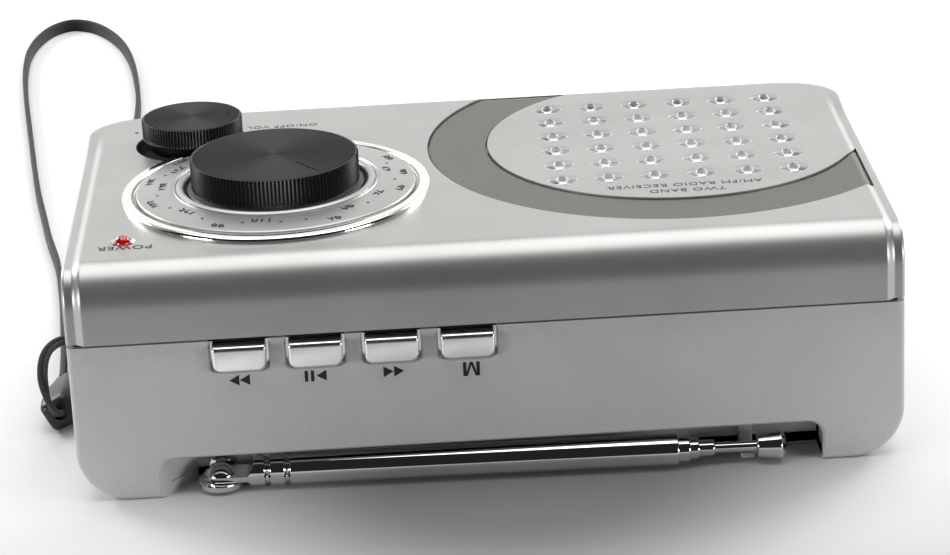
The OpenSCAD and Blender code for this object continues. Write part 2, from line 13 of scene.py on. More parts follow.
import bmesh
import bpy
import numpy as np
from mathutils import Matrix, Vector


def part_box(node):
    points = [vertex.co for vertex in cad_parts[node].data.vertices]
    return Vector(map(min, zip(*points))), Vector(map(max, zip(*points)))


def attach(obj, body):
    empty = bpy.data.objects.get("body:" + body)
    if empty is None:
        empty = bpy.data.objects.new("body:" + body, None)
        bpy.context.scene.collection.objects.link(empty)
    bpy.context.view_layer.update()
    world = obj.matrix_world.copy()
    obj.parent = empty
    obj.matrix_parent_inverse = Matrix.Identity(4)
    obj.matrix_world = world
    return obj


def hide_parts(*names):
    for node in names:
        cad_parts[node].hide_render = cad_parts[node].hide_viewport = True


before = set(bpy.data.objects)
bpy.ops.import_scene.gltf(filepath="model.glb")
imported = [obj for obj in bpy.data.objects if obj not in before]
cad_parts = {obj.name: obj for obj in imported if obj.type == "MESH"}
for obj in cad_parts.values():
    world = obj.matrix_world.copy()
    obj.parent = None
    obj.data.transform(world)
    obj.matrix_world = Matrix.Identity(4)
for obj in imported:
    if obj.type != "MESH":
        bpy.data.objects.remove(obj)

MM = 0.001
LOG = logging.getLogger("radio")

Tree = bpy.types.NodeTree
Socket = bpy.types.NodeSocket
Piece = bpy.types.Object


class Body(Enum):
    """The moving bodies of the frame."""

    CASE = "case"
    TUNING = "tuning"
    VOLUME = "volume"
    REWIND = "rewind_key"
    PLAY = "play_key"
    FORWARD = "forward_key"
    MODE = "mode_key"
    LID = "battery_lid"
    BAND = "band_key"
    SWIVEL = "swivel"
    TUBE_1 = "tube_1"
    TUBE_2 = "tube_2"
    TUBE_3 = "tube_3"
    TUBE_4 = "tube_4"
    ROD = "rod"


class Axis(Enum):
    """The three directions of the frame."""

    X = 0
    Y = 1
    Z = 2


# ---- shapes ----


def node_box(node: str) -> tuple[np.ndarray, np.ndarray]:
    """Lowest and highest corner of a node of the frame.

    Args:
        node: the node's name.
    Returns:
        The two corners in millimetres.
    """
    low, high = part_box(node)
    return np.array(low) / MM, np.array(high) / MM


def node_middle(node: str) -> np.ndarray:
    """Middle of a node of the frame, in millimetres."""
    low, high = node_box(node)
    return (low + high) / 2


def compass(degrees: float) -> tuple[float, float]:
    """Cosine and sine of an angle in degrees."""
    angle = math.radians(degrees)
    return math.cos(angle), math.sin(angle)


def grid_quads(rows: int, cols: int, close_rows: bool = False, close_cols: bool = False) -> np.ndarray:
    """Quads between neighbouring points of a grid whose points are numbered row by row.

    Args:
        rows: number of rows.
        cols: number of points in a row.
        close_rows: the last row meets the first one.
        close_cols: each row's last point meets its first one.
    Returns:
        One line of four point numbers for each quad.
    """
    r = np.arange(rows if close_rows else rows - 1)[:, None]
    c = np.arange(cols if close_cols else cols - 1)[None, :]
    r2, c2 = (r + 1) % rows, (c + 1) % cols
    return np.stack([r * cols + c, r * cols + c2, r2 * cols + c2, r2 * cols + c], -1).reshape(-1, 4)


@dataclass
class Shape:
    """A closed surface, or several, in millimetres.

    points has a row for each point, quads and caps hold point numbers, and uv has millimetres along and
    across the surface for each corner of each quad.
    """

    points: np.ndarray
    quads: np.ndarray
    caps: list[list[int]] = field(default_factory=list)
    uv: np.ndarray | None = None

    @classmethod
    def joined(cls, shapes: "Sequence[Shape]") -> "Shape":
        """All the shapes as one.

        Args:
            shapes: the shapes, which keep their own surfaces.
        Returns:
            One shape that holds them all.
        """
        starts = np.cumsum([0] + [len(s.points) for s in shapes[:-1]])
        flat = [s.uv if s.uv is not None else np.zeros((len(s.quads), 4, 2)) for s in shapes]
        return cls(
            np.concatenate([s.points for s in shapes]),
            np.concatenate([s.quads + start for s, start in zip(shapes, starts)]),
            [[i + int(start) for i in cap] for s, start in zip(shapes, starts) for cap in s.caps],
            np.concatenate(flat),
        )

    def moved(self, x: float = 0, y: float = 0, z: float = 0) -> "Shape":
        """The shape shifted by x, y and z."""
        return Shape(self.points + np.array([x, y, z]), self.quads, self.caps, self.uv)

    def mapped(self, turn: np.ndarray, origin: Sequence[float]) -> "Shape":
        """The shape turned by a matrix and put at an origin.

        Args:
            turn: a 3 by 3 matrix whose columns are the new X, Y and Z directions.
            origin: where the shape's own zero goes.
        Returns:
            The shape in its place.
        """
        return Shape(self.points @ np.asarray(turn).T + np.array(origin), self.quads, self.caps, self.uv)


def loft(rings: np.ndarray, capped: bool = True, ring_of_rings: bool = False) -> Shape:
    """A surface through closed rings of points, one after the other.

    Its uv counts millimetres round the ring and millimetres from ring to ring.
    Args:
        rings: points by ring, by place on the ring.
        capped: closes the first and the last ring with a flat face.
        ring_of_rings: the last ring meets the first one, as in a tube with a hollow.
    Returns:
        The closed shape.
    """
    m, n = rings.shape[:2]
    quads = grid_quads(m, n, ring_of_rings, True)
    middles = rings.mean(1)
    edge = np.linalg.norm(np.diff(rings[:, [0]], axis=0), axis=2)[:, 0]
    between = np.linalg.norm(np.diff(middles, axis=0), axis=1)
    along = np.concatenate([[0], np.cumsum(np.maximum(edge, between))])
    round_mm = np.linalg.norm(np.diff(rings[m // 2], axis=0, append=rings[m // 2][:1]), axis=1).sum()
    k = len(quads) // n
    c = np.arange(n)[None, :].repeat(k, 0)
    r = np.arange(k)[:, None].repeat(n, 1)
    ends = np.append(along, along[-1] + 1)
    u0, u1, v0, v1 = c / n * round_mm, (c + 1) / n * round_mm, ends[r], ends[r + 1]
    uv = np.stack([np.stack(corner, -1) for corner in ((u0, v0), (u1, v0), (u1, v1), (u0, v1))], 2)
    caps = [list(range(n))[::-1], [(m - 1) * n + i for i in range(n)]] if capped and not ring_of_rings else []
    return Shape(rings.reshape(-1, 3), quads, caps, uv.reshape(-1, 4, 2))


def lathe(profile: np.ndarray, steps: int = 96, hollow: bool = False) -> Shape:
    """A profile of radius and height turned round the Z axis.

    Each point is (r cos a, r sin a, z), where a goes once round.
    Args:
        profile: rows of radius and height, along the outline.
        steps: number of points round the axis.
        hollow: the outline is closed and doesn't touch the axis.
    Returns:
        The closed shape.
    """
    a = np.linspace(0, 2 * np.pi, steps, endpoint=False)
    r, z = profile[:, 0][:, None], profile[:, 1][:, None]
    rings = np.stack([r * np.cos(a), r * np.sin(a), z + 0 * a], -1)
    return loft(rings, not hollow, hollow)


def arc(centre: Sequence[float], radius: float, start: float, end: float, count: int = 7) -> np.ndarray:
    """Points along a flat arc.

    Args:
        centre: the arc's middle.
        radius: its radius.
        start: its first angle in degrees.
        end: its last angle in degrees.
        count: number of points.
    Returns:
        Rows of two coordinates.
    """
    a = np.radians(np.linspace(start, end, count))
    return np.stack([centre[0] + radius * np.cos(a), centre[1] + radius * np.sin(a)], -1)


def outline(parts: Sequence[np.ndarray | Sequence[float]]) -> np.ndarray:
    """One line of points from single points and arcs, in order."""
    return np.concatenate([np.atleast_2d(np.asarray(p, float)) for p in parts])


def round_box(
    low: Sequence[float], high: Sequence[float], radius: float | Sequence[float], count: int = 6
) -> np.ndarray:
    """A flat rectangle with round corners, counterclockwise from its lower right corner.

    Args:
        low: the lower left corner.
        high: the upper right corner.
        radius: one radius, or those of the lower right, upper right, upper left and lower left corners.
        count: points in each corner.
    Returns:
        Rows of two coordinates.
    """
    r = [radius] * 4 if isinstance(radius, (int, float)) else list(radius)
    (x0, y0), (x1, y1) = low, high
    return outline([
        arc((x1 - r[0], y0 + r[0]), r[0], -90, 0, count),
        arc((x1 - r[1], y1 - r[1]), r[1], 0, 90, count),
        arc((x0 + r[2], y1 - r[2]), r[2], 90, 180, count),
        arc((x0 + r[3], y0 + r[3]), r[3], 180, 270, count),
    ])


def stack(outlines: Sequence[np.ndarray], heights: Sequence[float], axis: Axis) -> Shape:
    """A loft through flat outlines that stand square to an axis.

    Args:
        outlines: the outlines, in the other two coordinates in their own order.
        heights: the place of each outline along the axis.
        axis: the direction that they are stacked in.
    Returns:
        The closed shape.
    """
    flat = np.stack(list(outlines))
    rings = np.insert(flat, axis.value, 0.0, axis=2)
    rings[:, :, axis.value] = np.asarray(heights, float)[:, None]
    return loft(rings)


def prism(plan: np.ndarray, start: float, end: float, axis: Axis) -> Shape:
    """A flat outline carried straight along an axis."""
    return stack([plan, plan], [start, end], axis)


def block(low: Sequence[float], high: Sequence[float]) -> Shape:
    """A plain box between two corners, for cutting."""
    rect = np.array([[low[0], low[1]], [high[0], low[1]], [high[0], high[1]], [low[0], high[1]]], float)
    return prism(rect, low[2], high[2], Axis.Z)


def rod(
    centre: Sequence[float], radius: float, start: float, end: float, axis: Axis, steps: int = 48
) -> Shape:
    """A plain round bar along an axis.

    Args:
        centre: its middle, in the other two coordinates.
        radius: its radius.
        start: where it starts along the axis.
        end: where it ends.
        axis: its direction.
        steps: number of points round it.
    Returns:
        The closed shape.
    """
    return prism(arc(centre, radius, 0, 360, steps + 1)[:-1], start, end, axis)


def smooth_path(points: Sequence[Sequence[float]], per_span: int) -> np.ndarray:
    """A smooth curve through points: each span is a cubic whose slopes follow its neighbours (Catmull-Rom).

    Args:
        points: the points that it passes.
        per_span: number of points for each span.
    Returns:
        Points along the curve.
    """
    p = np.asarray(points, float)
    q = np.concatenate([[2 * p[0] - p[1]], p, [2 * p[-1] - p[-2]]])
    a, b, c, d = (q[i:len(q) - 3 + i, None] for i in range(4))
    t = np.linspace(0, 1, per_span, endpoint=False)[None, :, None]
    curve = 0.5 * (2 * b + (c - a) * t + (2 * a - 5 * b + 4 * c - d) * t**2 + (3 * b - a - 3 * c + d) * t**3)
    return np.concatenate([curve.reshape(-1, 3), p[-1:]])


def sweep(path: np.ndarray, section: np.ndarray) -> Shape:
    """A section carried along a path: across is level, and up is square to it and to the path.

    Args:
        path: points of the path.
        section: either one outline for the whole path or one for each point, in across and up.
    Returns:
        The closed shape.
    """
    tangent = np.gradient(path, axis=0)
    tangent /= np.linalg.norm(tangent, axis=1)[:, None]
    across = np.cross(tangent, [0, 0, 1])
    across /= np.linalg.norm(across, axis=1)[:, None]
    up = np.cross(across, tangent)
    sec = np.broadcast_to(section, (len(path),) + section.shape[-2:])
    return loft(path[:, None] + sec[:, :, :1] * across[:, None] + sec[:, :, 1:] * up[:, None])


def hollow(outer: np.ndarray, inner: np.ndarray) -> Shape:
    """A cover with a wall: an outer and an inner skin of the same grid, joined along the rim.

    The rows' two ends are the rim. The first and last row stand on flat end walls.
    Args:
        outer: points of the outer skin by row and place.
        inner: points of the inner skin.
    Returns:
        The closed shape.
    """
    m, n = outer.shape[:2]
    size = m * n
    quads = grid_quads(m, n)
    number = np.arange(size).reshape(m, n)
    rims = []
    for edge in (number[:, 0], number[:, -1]):
        rims.append(np.stack([edge[:-1], edge[1:], edge[1:] + size, edge[:-1] + size], -1))
    for row in (number[0], number[-1]):
        rims.append(np.array([[row[0], row[-1], row[-1] + size, row[0] + size]]))
    caps = [[int(i) + shift for i in row] for row in (number[0], number[-1]) for shift in (0, size)]
    points = np.concatenate([outer.reshape(-1, 3), inner.reshape(-1, 3)])
    return Shape(points, np.concatenate([quads, quads[:, ::-1] + size, *rims]), caps)


def slab(top: np.ndarray, bottom: np.ndarray) -> Shape:
    """A sheet with a thickness: two grids of points and the wall round them.

    Args:
        top: points of the upper face by row and place.
        bottom: points of the lower face.
    Returns:
        The closed shape.
    """
    m, n = top.shape[:2]
    size = m * n
    quads = grid_quads(m, n)
    number = np.arange(size).reshape(m, n)
    walls = []
    for edge in (number[0], number[-1], number[:, 0], number[:, -1]):
        walls.append(np.stack([edge[:-1], edge[1:], edge[1:] + size, edge[:-1] + size], -1))
    points = np.concatenate([top.reshape(-1, 3), bottom.reshape(-1, 3)])
    return Shape(points, np.concatenate([quads, quads[:, ::-1] + size, *walls]))


def bulge(distance: np.ndarray, radius: np.ndarray | float) -> np.ndarray:
    """How far a rounded edge falls back: the radius less a quarter circle's height at that distance."""
    inside = np.clip(radius - distance, 0, radius)
    return radius - np.sqrt(np.maximum(radius**2 - inside**2, 0))


def ease(t: np.ndarray) -> np.ndarray:
    """A smooth step from 0 to 1, level at both ends."""
    t = np.clip(t, 0, 1)
    return t * t * (3 - 2 * t)


# ---- from shapes to pieces ----


def write_mesh(name: str, shape: Shape, sharp: float) -> Piece:
    """Writes a shape as a mesh object at the origin, in metres, with its normals outwards.

    Args:
        name: the object's name.
        shape: the shape.
        sharp: edges that turn by more than this many degrees stay sharp.
    Returns:
        The object, linked to the scene.
    """
    mesh = bpy.data.meshes.new(name)
    mesh.from_pydata((shape.points * MM).tolist(), [], shape.quads.tolist() + shape.caps)
    layer = mesh.uv_layers.new(name="surface_mm")
    if shape.uv is not None:
        corners = np.zeros((len(mesh.loops), 2))
        corners[: len(shape.quads) * 4] = shape.uv.reshape(-1, 2)
        layer.data.foreach_set("uv", corners.ravel())
    work = bmesh.new()
    work.from_mesh(mesh)
    bmesh.ops.remove_doubles(work, verts=work.verts, dist=1e-6)
    bmesh.ops.recalc_face_normals(work, faces=work.faces)
    work.to_mesh(mesh)
    work.free()
    shade(mesh, sharp)
    piece = bpy.data.objects.new(name, mesh)
    bpy.context.scene.collection.objects.link(piece)
    return piece


def shade(mesh: bpy.types.Mesh, sharp: float) -> None:
    """Smooth faces with sharp edges where the surface turns by more than sharp degrees."""
    mesh.shade_smooth()
    mesh.set_sharp_from_angle(angle=math.radians(sharp))


def carve(piece: Piece, cutter: Shape, sharp: float) -> None:
    """Takes a cutter's volume out of a piece.

    Args:
        piece: the piece, whose mesh is replaced.
        cutter: a closed shape, or several that don't meet.
        sharp: the angle above which edges stay sharp.
    """
    tool = write_mesh("cutter", cutter, sharp)
    step = piece.modifiers.new("cut", "BOOLEAN")
    step.operation = "DIFFERENCE"
    step.solver = "EXACT"
    step.object = tool
    bpy.context.view_layer.update()
    carved = bpy.data.meshes.new_from_object(piece.evaluated_get(bpy.context.evaluated_depsgraph_get()))
    piece.modifiers.clear()
    piece.data = carved
    bpy.data.objects.remove(tool)
    shade(carved, sharp)


def lettering(text: str, height: float, bold: float = 0.0, spacing: float = 1.0) -> Shape:
    """Thin raised lettering, its middle at zero, reading along +X with its top towards +Y.

    Args:
        text: the words.
        height: height of a capital.
        bold: how much its strokes are widened.
        spacing: distance between letters, where 1 is the font's own.
    Returns:
        The closed shape.
    """
    curve = bpy.data.curves.new("lettering", "FONT")
    curve.body = text
    curve.align_x = "CENTER"
    curve.align_y = "CENTER"
    curve.size = height * 1.37
    curve.space_character = spacing
    curve.offset = bold
    curve.extrude = Print.THICKNESS
    curve.resolution_u = 3
    writer = bpy.data.objects.new("lettering", curve)
    bpy.context.scene.collection.objects.link(writer)
    bpy.context.view_layer.update()
    mesh = bpy.data.meshes.new_from_object(writer.evaluated_get(bpy.context.evaluated_depsgraph_get()))
    points = np.zeros(len(mesh.vertices) * 3)
    mesh.vertices.foreach_get("co", points)
    faces = [list(face.vertices) for face in mesh.polygons]
    bpy.data.objects.remove(writer)
    bpy.data.meshes.remove(mesh)
    return Shape(points.reshape(-1, 3), np.zeros((0, 4), int), faces)


class Print:
    """Sizes of printed ink: half its thickness, and the height of its middle over the surface."""

    THICKNESS = 0.015
    LIFT = 0.012


def turned(degrees: float) -> np.ndarray:
    """Matrix of a turn round Z."""
    c, s = compass(degrees)
    return np.array([[c, -s, 0], [s, c, 0], [0, 0, 1.0]])


# ---- finishes ----


def linear(colour: str) -> tuple[float, float, float, float]:
    """Turns an sRGB hex colour, such as "#c3c5c2", to linear red, green, blue and alpha."""
    channels = [int(colour[i:i + 2], 16) / 255 for i in (1, 3, 5)]
    return tuple(c / 12.92 if c <= 0.04045 else ((c + 0.055) / 1.055) ** 2.4 for c in channels) + (1.0,)


def add(tree: Tree, kind: str, sockets: dict | None = None, **settings: object) -> bpy.types.Node:
    """Adds a node with its settings, and sets or links its inputs.

    Args:
        tree: the node tree.
        kind: the node's type.
        sockets: a value, or an output to link, for each input's name or number.
        settings: the node's own properties.
    Returns:
        The node.
    """
    node = tree.nodes.new(kind)
    for name, value in settings.items():
        setattr(node, name, value)
    for name, value in (sockets or {}).items():
        if isinstance(value, Socket):
            tree.links.new(value, node.inputs[name])
        else:
            node.inputs[name].default_value = value
    return node


def maths(tree: Tree, operation: str, *values: Socket | float) -> Socket:
    """Result of one sum on outputs and numbers."""
    return add(tree, "ShaderNodeMath", dict(enumerate(values)), operation=operation).outputs[0]


def remap(
    tree: Tree,
    value: Socket,
    start: float,
    end: float,
    new_start: float = 0.0,
    new_end: float = 1.0,
    curve: str = "LINEAR",
) -> Socket:
    """A value carried from one range to another, and held at its ends.

    Args:
        tree: the node tree.
        value: the value.
        start: where the old range starts.
        end: where it ends.
        new_start: where the new range starts.
        new_end: where it ends.
        curve: the way between, straight or eased.
    Returns:
        The new value.
    """
    sockets = {"Value": value, "From Min": start, "From Max": end, "To Min": new_start, "To Max": new_end}
    return add(tree, "ShaderNodeMapRange", sockets, interpolation_type=curve).outputs["Result"]


def ramp(tree: Tree, factor: Socket, stops: Sequence[tuple[float, str]]) -> Socket:
    """Colours between stops.

    Args:
        tree: the node tree.
        factor: the value that picks the colour.
        stops: each colour's place and hex value.
    Returns:
        The colour output.
    """
    node = add(tree, "ShaderNodeValToRGB", {"Fac": factor})
    while len(node.color_ramp.elements) < len(stops):
        node.color_ramp.elements.new(0.5)
    for element, (place, colour) in zip(node.color_ramp.elements, stops):
        element.position = place
        element.color = linear(colour)
    return node.outputs["Color"]


def shades(colour: str, change: float) -> tuple[str, str]:
    """A darker and a lighter neighbour of a hex colour.

    Args:
        colour: the hex colour.
        change: how far each is from it, as a share of full white.
    Returns:
        The two hex colours.
    """
    channels = np.array([int(colour[i:i + 2], 16) for i in (1, 3, 5)])
    made = []
    for step in (-change * 255, change * 255):
        made.append("#" + "".join(f"{round(c):02x}" for c in np.clip(channels + step, 0, 255)))
    return made[0], made[1]


@dataclass(frozen=True)
class Finish:
    """A surface with a grain, a faint unevenness of colour and of gloss, and a bump of its own.

    slot names the record's material slot, and is not used. grain_mm is the size of the grain, and grain_depth
    its height.
    patch_mm is the size of the areas whose colour differs by patch.
    """

    name: str
    slot: str
    colour: str
    roughness: float
    metallic: float = 0.0
    grain_mm: float = 0.3
    grain_depth: float = 0.004
    grain_tint: float = 0.01
    patch_mm: float = 18.0
    patch: float = 0.008
    gloss_change: float = 0.04
    coat: float = 0.0
    coat_roughness: float = 0.1
    ior: float = 1.5
    transmission: float = 0.0
    sheen: float = 0.0
    # Painted glow: a faint emission in the finish's own colour, on a part that is not lit.
    painted_glow: float = 0.0

    def coordinates(self, tree: Tree) -> Socket:
        """Where the pattern is read: the object's own metres."""
        return add(tree, "ShaderNodeTexCoord").outputs["Object"]

    def height(self, tree: Tree, place: Socket) -> Socket:
        """Height of the grain, from 0 to 1."""
        sockets = {"Vector": place, "Scale": 1000 / self.grain_mm, "Detail": 2.0, "Roughness": 0.6}
        return add(tree, "ShaderNodeTexNoise", sockets).outputs["Fac"]

    def colours(self, tree: Tree, place: Socket, grain: Socket) -> Socket:
        """The base colour: broad patches, with the grain's tint over them.

        Args:
            tree: the material's tree.
            place: where the patches are read.
            grain: height of the grain.
        Returns:
            The colour.
        """
        sockets = {"Vector": place, "Scale": 1000 / self.patch_mm, "Detail": 3.0}
        patches = add(tree, "ShaderNodeTexNoise", sockets).outputs["Fac"]
        broad = ramp(tree, patches, list(zip((0.3, 0.7), shades(self.colour, self.patch))))
        fine = ramp(tree, grain, list(zip((0.35, 0.65), shades("#808080", self.grain_tint))))
        mix = add(tree, "ShaderNodeMix", {0: 1.0, 6: broad, 7: fine}, data_type="RGBA", blend_type="OVERLAY")
        return mix.outputs[2]

    def shader(self, tree: Tree) -> bpy.types.Node:
        """The surface's shader, with every constant on its own socket."""
        settings = {
            "Metallic": self.metallic,
            "Coat Weight": self.coat,
            "Coat Roughness": self.coat_roughness,
            "Transmission Weight": self.transmission,
            "Sheen Weight": self.sheen,
        }
        if self.metallic < 1:
            settings["IOR"] = self.ior
        if self.painted_glow:
            settings["Emission Color"] = linear(self.colour)
            settings["Emission Strength"] = self.painted_glow
        return add(tree, "ShaderNodeBsdfPrincipled", settings)

    def material(self) -> bpy.types.Material:
        """The finish as a material, made the first time it is asked for.

        Returns:
            The material: base colour, gloss and bump all follow the same grain.
        """
        made = bpy.data.materials.get(self.name)
        if made is not None:
            return made
        made = bpy.data.materials.new(self.name)
        made.use_nodes = True
        tree = made.node_tree
        tree.nodes.clear()
        place = self.coordinates(tree)
        grain = self.height(tree, place)
        shader = self.shader(tree)
        tree.links.new(self.colours(tree, place, grain), shader.inputs["Base Color"])
        smooth = max(0.02, self.roughness - self.gloss_change)
        rough = min(1.0, self.roughness + self.gloss_change)
        tree.links.new(remap(tree, grain, 0.3, 0.7, smooth, rough), shader.inputs["Roughness"])
        sockets = {"Height": grain, "Strength": 1.0, "Distance": self.grain_depth * MM}
        bump = add(tree, "ShaderNodeBump", sockets)
        tree.links.new(bump.outputs["Normal"], shader.inputs["Normal"])
        self.extras(tree, shader)
        output = add(tree, "ShaderNodeOutputMaterial")
        tree.links.new(shader.outputs["BSDF"], output.inputs["Surface"])
        return made

    def extras(self, tree: Tree, shader: bpy.types.Node) -> None:
        """Nothing more on a plain finish."""


@dataclass(frozen=True)
class MappedFinish(Finish):
    """A finish whose pattern follows the piece's own map, in millimetres round and along its surface."""

    def coordinates(self, tree: Tree) -> Socket:
        """The piece's own map; on a disc, the distance from the middle is its second coordinate."""
        return add(tree, "ShaderNodeUVMap", uv_map="surface_mm").outputs["UV"]


@dataclass(frozen=True)
class SpunFinish(MappedFinish):
    """A disc turned on a lathe: fine rings round its middle stretch the light into a bow tie."""

    anisotropy: float = 0.92
    ring_mm: float = 0.35
    glint: str = "#cfcfd1"

    def height(self, tree: Tree, place: Socket) -> Socket:
        """Height of the rings: noise that changes only from the middle outwards."""
        squash = add(tree, "ShaderNodeMapping", {"Vector": place, "Scale": (0.004, 1 / self.ring_mm, 1.0)})
        sockets = {"Vector": squash.outputs["Vector"], "Scale": 1.0, "Detail": 3.0, "Roughness": 0.7}
        return add(tree, "ShaderNodeTexNoise", sockets).outputs["Fac"]

    def extras(self, tree: Tree, shader: bpy.types.Node) -> None:
        """Stretches the highlight along the rings."""
        shader.inputs["Anisotropic"].default_value = self.anisotropy
        shader.inputs["Specular Tint"].default_value = linear(self.glint)
        along = add(tree, "ShaderNodeTangent", direction_type="UV_MAP", uv_map="surface_mm")
        tree.links.new(along.outputs["Tangent"], shader.inputs["Tangent"])


@dataclass(frozen=True)
class WovenFinish(MappedFinish):
    """Plaited or woven thread: two families of slanted ribs that cross over and under each other."""

    thread_mm: float = 0.5
    slant: float = 1.0

    def height(self, tree: Tree, place: Socket) -> Socket:
        """The higher of two slanted sine waves whose ribs are a thread wide."""
        parts = add(tree, "ShaderNodeSeparateXYZ", {"Vector": place})
        waves = []
        for slant in (self.slant, -self.slant):
            tilt = maths(tree, "MULTIPLY_ADD", parts.outputs["X"], slant, parts.outputs["Y"])
            waves.append(maths(tree, "SINE", maths(tree, "MULTIPLY", tilt, math.pi / self.thread_mm)))
        return remap(tree, maths(tree, "MAXIMUM", *waves), -1.0, 1.0)


@dataclass(frozen=True)
class BoardFinish(Finish):
    """Green lacquer over copper tracks on glass fibre: the tracks show as paler, raised lines."""

    track_mm: float = 2.2

    def height(self, tree: Tree, place: Socket) -> Socket:
        """High on square-cornered tracks between cells."""
        sockets = {"Vector": place, "Scale": 1000 / self.track_mm, "Randomness": 0.55}
        cells = add(tree, "ShaderNodeTexVoronoi", sockets, feature="F2", distance="CHEBYCHEV")
        return remap(tree, cells.outputs["Distance"], 0.5, 0.6)


@dataclass(frozen=True)
class WoundFinish(Finish):
    """Thin enamelled wire wound in bundles along X: fine even ridges."""

    wire_mm: float = 0.35

    def height(self, tree: Tree, place: Socket) -> Socket:
        """A sine wave along X: one ridge for each bundle of three wires."""
        sockets = {"Vector": place, "Scale": 100 / self.wire_mm}
        return add(tree, "ShaderNodeTexWave", sockets, bands_direction="X").outputs["Fac"]


# A finish gives its name, slot, colour, roughness and metal share, then the grain's size, height and tint.
# Two-coat silver lacquer with metal flake over moulded ABS: bright, soft-edged reflections.
SILVER_LACQUER = Finish("silver_lacquer", "silver_shell", "#d2d2d1", 0.38, 0.82, 0.22, 0.0014, 0.014)
# The same lacquer, greyer and sprayed thinner over a spark-eroded grain: a duller, even satin.
GREY_LACQUER = Finish("grey_satin_lacquer", "grey_shell", "#d8d9d8", 0.46, 0.12, 0.4, 0.008, 0.03)
# Near-white walls of the sound holes and the bed under them: painted light, so the insides of the holes read
# lit.
HOLE_PAINTED_LIGHT = Finish("hole_painted_light", "grey_shell", "#ececee", 0.5, 0.0, 0.3, 0.006, 0.05)
# Dark champagne lacquer over ABS: an even satin with a faint warm tint.
TRIM_LACQUER = Finish("dark_satin_lacquer", "dark_trim", "#908f87", 0.44, 0.35, 0.45, 0.012, 0.05)
# Bright nickel-chrome plate over ABS: a mirror with a little orange peel.
PLATED_RING = Finish(
    "chrome_plated_ring", "chrome_ring", "#f4f4f2", 0.09, 1.0, 4.0, 0.002, 0.002, 20, 0.004, 0.02,
)
# The same plate, brushed before plating: the keys mirror the room softly.
PLATED_KEY = Finish(
    "chrome_plated_key", "chrome_key", "#fafafa", 0.24, 1.0, 3.0, 0.002, 0.002, 20, 0.004, 0.03,
)
# Drawn brass tube with bright chrome plate: the sharpest mirror on the radio.
PLATED_TUBE = Finish(
    "chrome_plated_tube", "aerial_chrome", "#ececee", 0.06, 1.0, 6.0, 0.001, 0.002, 25, 0.004, 0.02,
)
# Moulded black ABS with a fine even grain: deep and half-matt.
KNOB_BLACK = Finish("moulded_black_abs", "black_knob", "#101011", 0.36, 0.0, 0.25, 0.003, 0.012)
# Black-anodised aluminium cap, spun on a lathe: dark, with a bow-tie highlight.
SPUN_CAP = SpunFinish("spun_black_aluminium", "black_knob", "#303133", 0.28, 0.9, 0.35, 0.0012, 0.05)
# Dull black nylon of the sockets and switches: no mirror at all.
SOCKET_BLACK = Finish("moulded_black_nylon", "black_plastic", "#151517", 0.5, 0.0, 0.3, 0.004, 0.01)
# Near-black inside the wells and the seam: painted shade, where little light gets in.
WELL_SHADE_BLACK = Finish("painted_shade_black", "black_plastic", "#0c0c0d", 0.65, 0.0, 0.4, 0.004, 0.008)
# Small moulded parts inside: a warm, waxy off-white.
CREAM_PLASTIC = Finish("moulded_cream_polyester", "cream_plastic", "#d8d4c6", 0.42)
# Paper soaked in brown resin: darker fibres show through.
LAMINATE = Finish("paper_phenolic_laminate", "brown_laminate", "#7a5a38", 0.5, 0.0, 0.6, 0.006, 0.04)
# Clear red epoxy of a small lamp: it lets light in and mirrors it at the top. A faint painted glow lightens
# it, though the lamp is not lit.
RED_EPOXY = Finish(
    "red_epoxy_lamp", "red_lamp", "#d3161a", 0.08, 0.0, 0.8, 0.001, 0.01, 2, 0.02, 0.02,
    coat=1.0, coat_roughness=0.04, ior=1.56, transmission=0.25, painted_glow=0.12,
)
# Green lacquer over copper on glass fibre.
BOARD_GREEN = BoardFinish("glass_fibre_board", "circuit_board", "#2a6238", 0.38, 0.0, 0.3, 0.03, 0.05)
# Thin shrunk sleeve: a tight, faintly wrinkled gloss.
BLUE_SLEEVE = Finish("shrunk_blue_sleeve", "blue_sleeve", "#26324a", 0.35, 0.0, 0.8, 0.004, 0.02)
# Pressed and fired iron oxide: grainy and dark.
FERRITE = Finish("sintered_ferrite", "ferrite", "#36363a", 0.6, 0.1, 0.35, 0.02, 0.05)
# Lacquered wire: a warm metal with even ridges.
COPPER_WIRE = WoundFinish("enamelled_copper_wire", "copper_wire", "#a8642f", 0.32, 0.7, 0.35, 0.12, 0.05)
# Zinc plate with its cloudy patches.
ZINC_STEEL = Finish("zinc_plated_steel", "zinc_steel", "#8f9194", 0.4, 0.9, 1.2, 0.004, 0.04, 8, 0.03, 0.08)
# Pressed paper: fibrous, with no gloss.
PAPER_CONE = Finish("pressed_paper_cone", "paper_cone", "#24221f", 0.85, 0.0, 0.5, 0.03, 0.05)
# Printed plastic film stretched over a cell.
CELL_WRAP = Finish("printed_cell_wrap", "cell_wrap", "#3b6f4a", 0.28, 0.0, 5.0, 0.004, 0.02, 12, 0.02)
# Nickel plate on springs, contacts and screws: bright and slightly warm.
BRIGHT_STEEL = Finish("nickel_plated_steel", "steel", "#c9cacb", 0.25, 1.0, 1.0, 0.002, 0.01)
# Plaited nylon cord and woven nylon band: matt, with the pale edge of each thread.
CORD_NYLON = WovenFinish(
    "plaited_black_nylon", "black_cord", "#111112", 0.6, 0.0, 0.3, 0.1, 0.08, 18, 0.006, 0.1,
    sheen=0.08, thread_mm=0.45,
)
BAND_NYLON = WovenFinish(
    "woven_black_nylon", "black_cord", "#131315", 0.62, 0.0, 0.3, 0.08, 0.08, 18, 0.006, 0.1,
    sheen=0.1, thread_mm=0.4, slant=0.5,
)
# Soft black rubber of the keeper: half-matt.
KEEPER_BLACK = Finish("moulded_black_rubber", "black_cord", "#101011", 0.4, 0.0, 0.5, 0.008, 0.015)
# Screen-printed black ink: thin, slightly soft at its edges.
BLACK_INK = Finish("screen_print_black", "black_plastic", "#202022", 0.55, 0.0, 0.3, 0.001, 0.03)

